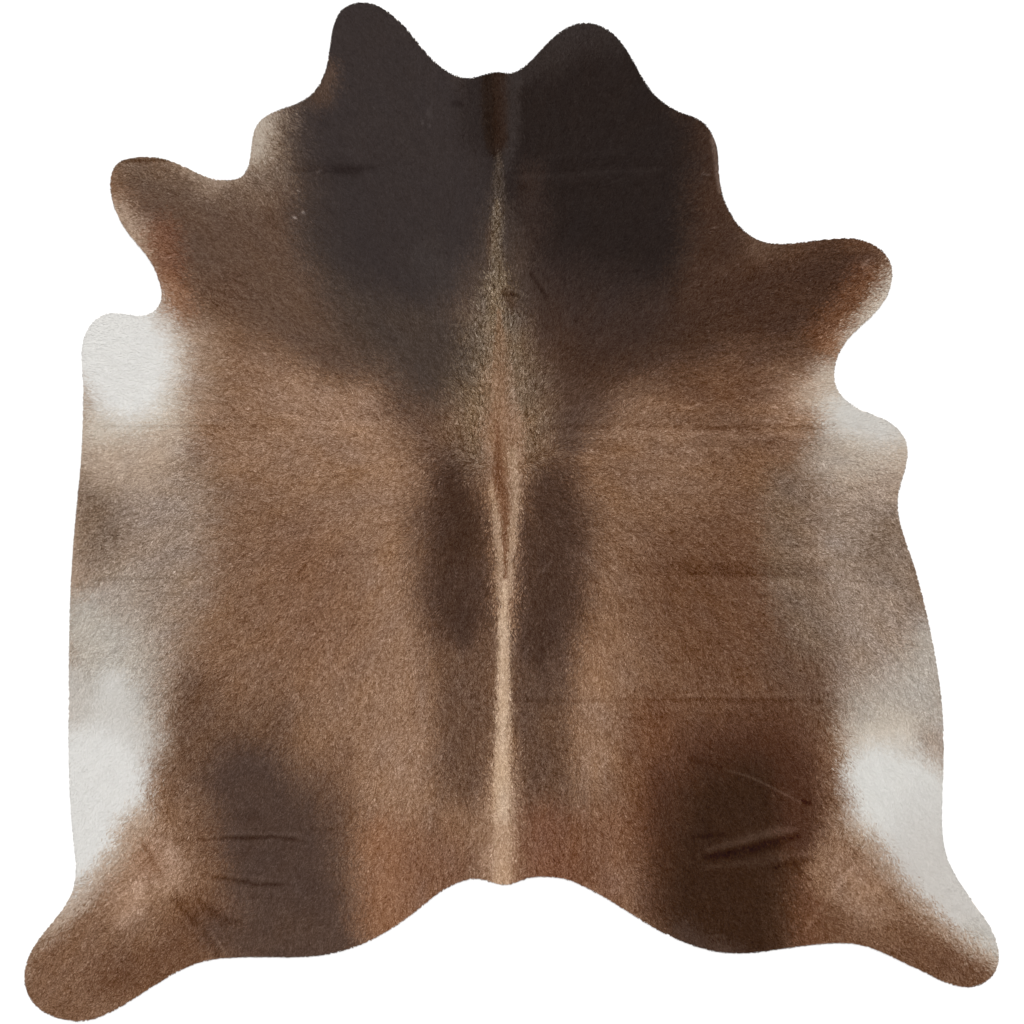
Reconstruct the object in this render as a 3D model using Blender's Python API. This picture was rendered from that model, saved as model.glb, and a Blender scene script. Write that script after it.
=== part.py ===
"""A whole hair-on cowhide that lies flat as a rug.

The hide is one piece: leather with its coat on, cut along the animal's natural outline, from two
neck points down over shoulders, forelegs, belly flaps and flanks to the hind shanks and a stub of
tail. It lies flat on the floor, apart from the soft swells beside the lines where it was folded
and the puckers over the haunches.

Frame: metres, +Z up from the floor, +Y from tail to neck, origin under the middle of the box.
"""

import math

import bmesh
import bpy
import numpy as np
from mathutils import Vector
from mathutils.geometry import delaunay_2d_cdt

# Driving sizes, in metres.
LENGTH = 2.20  # from the neck points to the hind shanks
LEATHER = 0.0025  # tanned leather
COAT = 0.0025  # hair lying flat on it
EDGE_HEIGHT = 0.003  # what is left at the cut edge, where the coat thins out
EDGE_SLOPE = 0.008  # how far in from the edge the full thickness is reached

CENTIMETRE = 0.01
MILLIMETRE = 0.001

# How finely the surface is divided, in metres and degrees.
RIM_STEP = 0.024  # along the edge, or less where it turns by more than RIM_TURN
RIM_TURN = 14.0
FIELD_STEP = 0.062  # between the points of the flat field
FOLD_STEP = 0.036  # along a fold
RIM_CLEARANCE = 0.35 * FOLD_STEP  # from a fold's points to the edge
FOLD_CLEARANCE = 0.3 * FOLD_STEP  # from one fold's points to another's
FIELD_CLEARANCE = 0.6 * FIELD_STEP  # from the field's points to all others
MERGE_DISTANCE = 1e-6
SHARP_ANGLE = 35.0  # a steeper edge between two faces isn't shaded smooth

# The shape of a fold.
CREST = 0.58  # how far its crests lie from its trough, in half widths
CURVE_STEPS = 16  # into which each stretch of its trough's curve is divided

# The outline, clockwise from above. A row is a point of the edge in centimetres from the middle
# of the hide, and the edge's heading there in degrees from +X, counter-clockwise.
OUTLINE = {
    "neck": (
        (-32.1, 109.8, 0),
        (-24.0, 105.6, -44),
        (-16.5, 97.0, -43),
        (-9.5, 93.5, -2),
        (-3.2, 94.8, 4),
        (0.2, 94.6, 18),
        (7.9, 101.2, 44),
        (15.9, 105.4, 0),
        (23.5, 101.4, -51),
        (29.3, 91.9, -57),
    ),
    "right shoulder": (
        (36.1, 86.3, -24),
        (41.8, 83.5, -48),
        (44.6, 76.4, -87),
        (46.1, 66.7, -68),
        (53.0, 58.7, -25),
    ),
    "right foreleg": (
        (63.6, 58.2, 6),
        (74.9, 58.7, -12),
        (82.1, 52.0, -85),
        (77.6, 42.0, -137),
        (70.8, 34.4, -116),
    ),
    "right belly": (
        (71.2, 25.0, -50),
        (79.7, 20.2, -23),
        (85.4, 13.7, -83),
        (83.6, 4.6, -102),
        (85.7, -8.3, -70),
    ),
    "right flank": (
        (90.1, -24.5, -78),
        (92.9, -42.3, -85),
        (93.0, -60.0, -92),
        (93.6, -73.4, -76),
    ),
    "right hind shank": (
        (99.0, -83.3, -55),
        (105.1, -96.4, -92),
        (100.2, -102.3, -166),
        (87.4, -98.6, 156),
        (72.0, -93.1, 179),
    ),
    "rump": (
        (55.2, -94.8, -172),
        (41.8, -94.4, 165),
        (25.7, -86.7, 147),
        (14.2, -80.2, 156),
        (4.5, -78.9, -174),
        (-1.7, -80.5, 175),
        (-8.9, -79.3, -168),
        (-17.9, -84.0, -139),
        (-29.1, -91.8, -152),
        (-41.7, -95.8, -173),
    ),
    "left hind shank": (
        (-56.7, -96.1, -179),
        (-69.3, -98.0, -157),
        (-84.6, -107.0, -150),
        (-94.1, -109.9, 176),
        (-104.7, -102.9, 106),
        (-103.1, -94.0, 60),
    ),
    "left flank": (
        (-94.7, -81.9, 70),
        (-94.5, -70.5, 96),
        (-95.5, -49.2, 90),
        (-95.1, -17.7, 88),
        (-93.2, 6.8, 84),
        (-92.3, 25.9, 89),
    ),
    "left belly": (
        (-91.8, 38.4, 68),
        (-86.9, 42.7, 10),
        (-77.4, 43.0, 33),
    ),
    "left foreleg": (
        (-77.0, 52.3, 114),
        (-83.6, 61.4, 122),
        (-86.5, 70.2, 93),
        (-83.4, 75.9, 15),
        (-72.8, 75.4, -21),
        (-62.6, 71.5, -4),
    ),
    "left shoulder": (
        (-57.5, 73.0, 56),
        (-55.5, 82.0, 72),
        (-44.7, 88.8, 31),
        (-39.8, 96.3, 77),
        (-37.4, 107.1, 62),
    ),
}

# The folds that the hide kept from being stored, and the puckers over the haunches. A row is the
# swell's height in millimetres, the half width of the fold in centimetres, and the points, in
# centimetres, that its trough runs through.
FOLDS = {
    "withers, left": (1.8, 4.0, ((-48, 73.5), (-38, 74.5), (-29, 73.0))),
    "withers, right": (2.0, 4.5, ((0, 71.5), (16, 73.5), (34, 74.5))),
    "across the ribs, left": (2.2, 4.5, ((-90, 18.8), (-66, 18.2), (-40, 18.8))),
    "across the ribs, right": (3.8, 5.0, ((0, 18.2), (40, 18.8), (82, 17.6))),
    "across the barrel, left": (2.6, 5.0, ((-91, -14.6), (-62, -13.6), (-39, -9.6), (-8, -8.2))),
    "across the barrel, right": (3.2, 6.0, ((14, -11.4), (44, -12.4), (75, -13.8))),
    "across the loin": (3.6, 4.5, ((-3, -40.8), (36, -40.2), (80, -41.0))),
    "left haunch, upper": (3.8, 4.0, ((-76, -70.4), (-58, -70.6), (-33, -68.0))),
    "left haunch, lower": (3.2, 3.6, ((-67, -78.6), (-56, -80.2), (-43, -80.4))),
    "right haunch": (4.6, 4.4, ((37, -74.8), (52, -72.4), (60, -69.6), (74, -68.8))),
    "left shank": (2.6, 3.6, ((-84, -65.5), (-75, -79.0), (-64, -94.0))),
    "right shank": (2.8, 3.6, ((79, -67.5), (71, -79.5), (64, -90.5))),
}

# Principled BSDF values of the brown coat.
COAT_COLOUR = (0.17, 0.115, 0.085, 1.0)
COAT_ROUGHNESS = 0.55


def clear_scene():
    for obj in list(bpy.data.objects):
        bpy.data.objects.remove(obj, do_unlink=True)


def span(start, end):
    """Points from one row of the outline up to the next, along a cubic that leaves and arrives at
    their headings. Its handles have the length that makes a circle's arc of an even turn."""
    points = [np.array(row[:2]) for row in (start, end)]
    headings = [math.radians(row[2]) for row in (start, end)]
    chord = points[1] - points[0]
    length = math.hypot(*chord)
    handles = []
    for heading in headings:
        off_chord = math.remainder(heading - math.atan2(chord[1], chord[0]), math.tau)
        reach = length / (3 * math.cos(off_chord / 2) ** 2)
        handles.append(reach * np.array((math.cos(heading), math.sin(heading))))
    turn = abs(math.degrees(math.remainder(headings[1] - headings[0], math.tau)))
    steps = max(math.ceil(length * CENTIMETRE / RIM_STEP), math.ceil(turn / RIM_TURN))
    t = np.arange(steps)[:, None] / steps
    return (
        (1 - t) ** 3 * points[0]
        + 3 * (1 - t) ** 2 * t * (points[0] + handles[0])
        + 3 * (1 - t) * t**2 * (points[1] - handles[1])
        + t**3 * points[1]
    )


def placed(points_cm, edge_cm):
    """Points in metres in the hide's own frame, given the edge that the frame is centred on."""
    low, high = edge_cm.min(axis=0), edge_cm.max(axis=0)
    return (np.asarray(points_cm, float) - (low + high) / 2) * LENGTH / (high - low)[1]


def outline_edge():
    """The whole edge in centimetres, clockwise."""
    rows = [row for region in OUTLINE.values() for row in region]
    return np.concatenate([span(*pair) for pair in zip(rows, rows[1:] + rows[:1])])


def inset(rim, distance):
    """The closed clockwise edge moved inwards, each point square to its neighbours' chord."""
    along = np.roll(rim, -1, axis=0) - np.roll(rim, 1, axis=0)
    inward = np.stack([along[:, 1], -along[:, 0]], axis=1)
    return rim + distance * inward / np.linalg.norm(inward, axis=1)[:, None]


def inside(points, rim):
    """Whether each point is in the closed edge: a ray towards +X crosses it an odd number of times."""
    x, y = points[:, 0, None], points[:, 1, None]
    (x0, y0), (x1, y1) = rim.T, np.roll(rim, -1, axis=0).T
    level = (y0 > y) != (y1 > y)
    with np.errstate(divide="ignore", invalid="ignore"):
        crossing = x0 + (y - y0) * (x1 - x0) / (y1 - y0)
    return (level & (x < crossing)).sum(axis=1) % 2 == 1


def clear_of(points, others, distance):
    """The points that lie at least this far from all the others."""
    gaps = np.linalg.norm(points[:, None] - others[None], axis=2)
    return points[gaps.min(axis=1) >= distance]


def trough(waypoints, step):
    """Even points along a fold's trough, on a smooth curve through its waypoints."""
    p = np.asarray(waypoints, float)
    p = np.concatenate([[2 * p[0] - p[1]], p, [2 * p[-1] - p[-2]]])
    t = np.linspace(0, 1, CURVE_STEPS + 1)[:, None]
    curve = [
        p[i] + 0.5 * t * (p[i + 1] - p[i - 1])
        + t**2 * (p[i - 1] - 2.5 * p[i] + 2 * p[i + 1] - 0.5 * p[i + 2])
        + t**3 * 0.5 * (p[i + 2] - 3 * p[i + 1] + 3 * p[i] - p[i - 1])
        for i in range(1, len(p) - 2)
    ]
    curve = np.concatenate(curve)
    run = np.concatenate([[0], np.cumsum(np.linalg.norm(np.diff(curve, axis=0), axis=1))])
    at = np.linspace(0, run[-1], math.ceil(run[-1] / step) + 1)
    return np.stack([np.interp(at, run, curve[:, k]) for k in (0, 1)], axis=1)


def fold_rows(line, half_width):
    """Points of the surface along a fold: its trough, its two crests and its two feet."""
    along = np.gradient(line, axis=0)
    across = np.stack([-along[:, 1], along[:, 0]], axis=1)
    across /= np.linalg.norm(across, axis=1)[:, None]
    return np.concatenate([line + across * half_width * k for k in (-1, -CREST, 0, CREST, 1)])


def fold_lift(points, line, half_width, height):
    """How far a fold lifts each point. Across the fold it is 27/4 u^2 (1 - u^2)^2 of the height,
    with u the distance in half widths: nothing at the trough and at the feet, all at the crests.
    Along the fold it rises and falls like a parabola, from nothing at one end to nothing at the
    other."""
    start, step = line[:-1], np.diff(line, axis=0)
    ahead = points[:, None] - start[None]
    share = np.clip((ahead * step).sum(axis=2) / (step**2).sum(axis=1), 0, 1)
    gap = np.linalg.norm(ahead - share[:, :, None] * step, axis=2)
    nearest = gap.argmin(axis=1)
    every = np.arange(len(points))
    u = np.minimum(gap[every, nearest] / half_width, 1)
    t = (nearest + share[every, nearest]) / len(step)
    return height * 27 / 4 * u**2 * (1 - u**2) ** 2 * 4 * t * (1 - t)


def sheet_points(rim, slope_foot, folds):
    """The points between the edge's slope and the middle: rows along the folds, then an even field."""
    kept = slope_foot
    for line, half_width, _ in folds:
        rows = fold_rows(line, half_width)
        rows = rows[inside(rows, slope_foot)]
        rows = clear_of(rows, rim, RIM_CLEARANCE)
        kept = np.concatenate([kept, clear_of(rows, kept, FOLD_CLEARANCE)])
    low, high = rim.min(axis=0), rim.max(axis=0)
    row_step = FIELD_STEP * math.sqrt(3) / 2
    y = np.arange(low[1], high[1], row_step)
    x = np.arange(low[0], high[0], FIELD_STEP)
    field = np.stack(np.meshgrid(x, y), axis=2)
    field[1::2, :, 0] += FIELD_STEP / 2
    field = field.reshape(-1, 2)
    field = field[inside(field, slope_foot)]
    field = clear_of(field, kept, FIELD_CLEARANCE)
    return np.concatenate([kept, field])


def triangulated(points, loop_count):
    """Triangles over the points, inside the closed loop that the first of them make."""
    loop = list(range(loop_count))
    _, _, faces, _, _, _ = delaunay_2d_cdt([Vector(p) for p in points], [], [loop], 1, MERGE_DISTANCE)
    return [tuple(face) for face in faces]


def hide_mesh():
    """The sheet: a top and an underside of the same triangles, the coat's thickness apart, joined
    round the edge by a slope and the cut side."""
    edge = outline_edge()
    rim = placed(edge, edge)
    folds = [
        (trough(placed(points, edge), FOLD_STEP), half_width * CENTIMETRE, height * MILLIMETRE)
        for height, half_width, points in FOLDS.values()
    ]
    slope_foot = inset(rim, EDGE_SLOPE)
    points = sheet_points(rim, slope_foot, folds)
    faces = triangulated(points, len(rim))

    every = np.concatenate([rim, points])
    lift = sum(fold_lift(every, *fold) for fold in folds)
    rim_lift, lift = lift[: len(rim)], lift[len(rim) :]

    bm = bmesh.new()

    def ring(flat, heights):
        return [bm.verts.new((x, y, z)) for (x, y), z in zip(flat, heights)]

    top = ring(points, lift + LEATHER + COAT)
    underside = ring(points, lift)
    top_edge = ring(rim, rim_lift + EDGE_HEIGHT)
    bottom_edge = ring(rim, rim_lift)
    for a, b, c in faces:
        bm.faces.new((top[a], top[b], top[c]))
        bm.faces.new((underside[c], underside[b], underside[a]))
    for outer, inner in ((top, top_edge), (top_edge, bottom_edge), (bottom_edge, underside)):
        for i in range(len(rim)):
            j = (i + 1) % len(rim)
            bm.faces.new((outer[i], outer[j], inner[j], inner[i]))
    bmesh.ops.recalc_face_normals(bm, faces=bm.faces)
    mesh = bpy.data.meshes.new("hide")
    bm.to_mesh(mesh)
    bm.free()
    return mesh


def coat_material():
    material = bpy.data.materials.new("brown coat")
    material.use_nodes = True
    shader = material.node_tree.nodes["Principled BSDF"]
    shader.inputs["Base Color"].default_value = COAT_COLOUR
    shader.inputs["Roughness"].default_value = COAT_ROUGHNESS
    shader.inputs["Metallic"].default_value = 0.0
    return material


def build():
    clear_scene()
    mesh = hide_mesh()
    mesh.materials.append(coat_material())
    mesh.shade_smooth()
    mesh.set_sharp_from_angle(angle=math.radians(SHARP_ANGLE))
    bpy.context.scene.collection.objects.link(bpy.data.objects.new("hide", mesh))


build()
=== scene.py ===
"""The looks of a whole hair-on cowhide that lies flat as a rug.

The hide is a skin, one sheet with the outline and the folds of its solid, and a coat of short hair
on it: several hundred thousand small tufts, each laid the way the hair grows at its place and given
the tone that the coat has there.

Frame: metres, +Z up from the floor, +Y from tail to neck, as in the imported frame. The tables give
places on the hide in centimetres from its middle.
"""

import logging
import math
from dataclasses import dataclass
from enum import Enum

import bpy
import numpy as np
from mathutils.geometry import delaunay_2d_cdt
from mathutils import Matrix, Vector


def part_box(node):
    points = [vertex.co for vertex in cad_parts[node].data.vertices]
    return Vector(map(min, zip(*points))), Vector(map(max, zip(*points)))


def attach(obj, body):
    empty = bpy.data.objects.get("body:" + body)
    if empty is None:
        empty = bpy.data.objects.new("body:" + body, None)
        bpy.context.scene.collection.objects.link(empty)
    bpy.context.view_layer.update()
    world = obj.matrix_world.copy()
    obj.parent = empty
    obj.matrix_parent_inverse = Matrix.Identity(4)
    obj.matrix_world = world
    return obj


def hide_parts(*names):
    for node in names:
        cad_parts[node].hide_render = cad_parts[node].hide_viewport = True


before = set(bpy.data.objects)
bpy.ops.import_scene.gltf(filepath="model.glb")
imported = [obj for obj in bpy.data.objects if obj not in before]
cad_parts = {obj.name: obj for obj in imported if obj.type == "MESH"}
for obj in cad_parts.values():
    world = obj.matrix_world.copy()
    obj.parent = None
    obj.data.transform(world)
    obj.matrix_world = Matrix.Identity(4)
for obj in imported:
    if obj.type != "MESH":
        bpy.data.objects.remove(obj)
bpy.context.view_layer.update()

log = logging.getLogger("cowhide")
Socket = bpy.types.NodeSocket

BODY = "root"
HIDE_NODE = "hide"
CENTIMETRE = 0.01
MILLIMETRE = 0.001
COAT_TONE = "coat_tone"  # attribute with the tone of each point of the coat
TONE_POWER = 2.2  # power that turns a tone in even steps of brightness into a linear colour
STRAND_MAP = "OFBake"  # map that gives every tuft a cell of its own
TUFT_CELL = ((0.5, 0.04), (0.96, 0.42), (0.5, 0.96), (0.04, 0.42))  # its corners in that cell
CURVE_POINTS = 17  # points from one waypoint of a fold to the next
FULL_SRGB = 255
TINY = 1e-9  # least length that a direction is divided by
SMALL = 1e-6  # keeps a grid place within its last cell, and a gap to be divided by off nothing
INSIDE_ONLY = 1  # tells the triangulation to keep what lies inside the loop
MERGE_WITHIN = 1e-7  # metres within which the triangulation takes two points for one

# The outline, clockwise from above. A row is a point of the edge and the edge's heading there, in
# degrees from +X, counter-clockwise. The points were picked by eye, but nearly all the places and
# most headings are what a scratch script then measured on the photograph's silhouette.
OUTLINE = {
    "neck": (
        (-32.1, 109.8, 0), (-24.0, 105.6, -44), (-16.5, 97.0, -43), (-9.5, 93.5, -2),
        (-3.2, 94.8, 4), (0.2, 94.6, 18), (7.9, 101.2, 44), (15.9, 105.4, 0),
        (23.5, 101.4, -51), (29.3, 91.9, -57),
    ),
    "right shoulder": (
        (36.1, 86.3, -24), (41.8, 83.5, -48), (44.6, 76.4, -87),
        (46.1, 66.7, -68), (53.0, 58.7, -25),
    ),
    "right foreleg": (
        (63.6, 58.2, 6), (74.9, 58.7, -12), (82.1, 52.0, -85),
        (77.6, 42.0, -137), (70.8, 34.4, -116),
    ),
    "right belly": (
        (71.2, 25.0, -50), (79.7, 20.2, -23), (85.4, 13.7, -83),
        (83.6, 4.6, -102), (85.7, -8.3, -70),
    ),
    "right flank": ((90.1, -24.5, -78), (92.9, -42.3, -85), (93.0, -60.0, -92), (93.6, -73.4, -76)),
    "right hind shank": (
        (99.0, -83.3, -55), (105.1, -96.4, -92), (100.2, -102.3, -166),
        (87.4, -98.6, 156), (72.0, -93.1, 179),
    ),
    "rump": (
        (55.2, -94.8, -172), (41.8, -94.4, 165), (25.7, -86.7, 147), (14.2, -80.2, 156),
        (4.5, -78.9, -174), (-1.7, -80.5, 175), (-8.9, -79.3, -168), (-17.9, -84.0, -139),
        (-29.1, -91.8, -152), (-41.7, -95.8, -173),
    ),
    "left hind shank": (
        (-56.7, -96.1, -179), (-69.3, -98.0, -157), (-84.6, -107.0, -150),
        (-94.1, -109.9, 176), (-104.7, -102.9, 106), (-103.1, -94.0, 60),
    ),
    "left flank": (
        (-94.7, -81.9, 70), (-94.5, -70.5, 96), (-95.5, -49.2, 90),
        (-95.1, -17.7, 88), (-93.2, 6.8, 84), (-92.3, 25.9, 89),
    ),
    "left belly": ((-91.8, 38.4, 68), (-86.9, 42.7, 10), (-77.4, 43.0, 33)),
    "left foreleg": (
        (-77.0, 52.3, 114), (-83.6, 61.4, 122), (-86.5, 70.2, 93),
        (-83.4, 75.9, 15), (-72.8, 75.4, -21), (-62.6, 71.5, -4),
    ),
    "left shoulder": (
        (-57.5, 73.0, 56), (-55.5, 82.0, 72), (-44.7, 88.8, 31),
        (-39.8, 96.3, 77), (-37.4, 107.1, 62),
    ),
}

# The folds that the hide kept from being stored, and the puckers over the haunches. A row is the
# swell's height in millimetres, the half width of the fold in centimetres, and the points that its
# trough runs through.
FOLDS = {
    "withers, left": (1.8, 4.0, (-48, 73.5), (-38, 74.5), (-29, 73.0)),
    "withers, right": (2.0, 4.5, (0, 71.5), (16, 73.5), (34, 74.5)),
    "across the ribs, left": (2.2, 4.5, (-90, 18.8), (-66, 18.2), (-40, 18.8)),
    "across the ribs, right": (3.8, 5.0, (0, 18.2), (40, 18.8), (82, 17.6)),
    "across the barrel, left": (2.6, 5.0, (-91, -14.6), (-62, -13.6), (-39, -9.6), (-8, -8.2)),
    "across the barrel, right": (3.2, 6.0, (14, -11.4), (44, -12.4), (75, -13.8)),
    "across the loin": (3.6, 4.5, (-3, -40.8), (36, -40.2), (80, -41.0)),
    "left haunch, upper": (3.8, 4.0, (-76, -70.4), (-58, -70.6), (-33, -68.0)),
    "left haunch, lower": (3.2, 3.6, (-67, -78.6), (-56, -80.2), (-43, -80.4)),
    "right haunch": (4.6, 4.4, (37, -74.8), (52, -72.4), (60, -69.6), (74, -68.8)),
    "left shank": (2.6, 3.6, (-84, -65.5), (-75, -79.0), (-64, -94.0)),
    "right shank": (2.8, 3.6, (79, -67.5), (71, -79.5), (64, -90.5)),
}

# The way the hair lies on the left half, from the whorl behind the withers: forward and outward
# over the neck, outward over the ribs, back and outward over the barrel and down the legs. A row
# is a place and the heading of the hair's tips, in degrees as above. The right half is its mirror.
HAIR_WAY = {
    "spine": (
        (-2, 95, 90), (-2, 76, 90), (-2, 58, 90), (-2, 40, 90), (-2, 24, 90),
        (-2, 14, 90), (-2, 4, -90), (-2, -4, -90), (-2, -16, -90), (-2, -32, -90),
        (-2, -50, -90), (-2, -68, -90), (-2, -80, -90),
    ),
    "whorl": (
        (-6, 3, -115), (-13, 3, -150), (-28, 4, -172),
        (-45, 4, -168), (-65, 4, -165), (-88, 4, -160),
    ),
    "ribs": ((-12, 26, 125), (-28, 28, 150), (-45, 29, 168), (-62, 28, 180), (-84, 32, 180)),
    "shoulder": ((-12, 50, 108), (-28, 52, 125), (-48, 54, 138), (-64, 56, 150), (-80, 56, 175)),
    "neck": ((-10, 74, 105), (-28, 78, 128), (-32, 100, 128), (-48, 80, 132), (-84, 70, 168)),
    "barrel": ((-9, -20, -98), (-28, -20, -122), (-55, -20, -138), (-86, -20, -140)),
    "loin": ((-11, -48, -95), (-34, -48, -112), (-60, -50, -122), (-90, -50, -112)),
    "haunch": (
        (-14, -74, -98), (-38, -76, -114), (-60, -76, -122), (-84, -82, -128), (-46, -92, -112),
    ),
    "shank": ((-94, -96, -134), (-101, -105, -140), (-70, -93, -124)),
}


class Tone(Enum):
    """A tone of the coat: red, green, blue and how far its tufts differ from it, of 255.

    The tones are given after colours measured in the photograph.
    """

    # CHARCOAL is the neck's black coat lightened by painted sheen, as laid on the left of the neck.
    CHARCOAL = (59, 51, 49, 2.4)
    BLACK = (43, 35, 32, 2.6)
    GRAPHITE = (68, 60, 57, 4)
    SOOT = (74, 62, 55, 5)
    UMBER = (70, 50, 39, 6)
    BARK = (56, 36, 24, 4.5)
    COCOA = (98, 76, 62, 7)
    SMOKE = (78, 60, 51, 5)
    WALNUT = (72, 50, 38, 7)
    RUSSET = (103, 72, 52, 10)
    BROWN = (127, 96, 74, 12)
    FAWN = (146, 114, 91, 13)
    SAND = (156, 124, 101, 13)
    CHESTNUT = (118, 80, 60, 11)
    COPPER = (140, 100, 74, 11)
    RUST = (110, 78, 57, 10)
    TAUPE = (150, 131, 116, 14)
    ASH = (122, 102, 86, 13)
    SILVER = (183, 176, 166, 8)
    TAN = (180, 159, 140, 9)
    CREAM = (203, 192, 178, 4)
    WHITE = (215, 213, 209, 1)
    MIST = (204, 201, 196, 1.5)
    STRAW = (180, 153, 128, 12)
    DRAB = (98, 73, 57, 10)
    FLAX = (117, 99, 80, 22)
    PITCH = (43, 32, 26, 4)
    HENNA = (104, 68, 46, 10)
    WHEAT = (190, 162, 136, 11)
    LOAM = (64, 50, 44, 4.5)
    MAHOGANY = (76, 48, 34, 6)
    BONE = (197, 192, 186, 1.5)
    AMBER = (144, 109, 83, 12)
    PEARL = (211, 209, 204, 1.5)
    CHALK = (221, 219, 215, 1)


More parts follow.
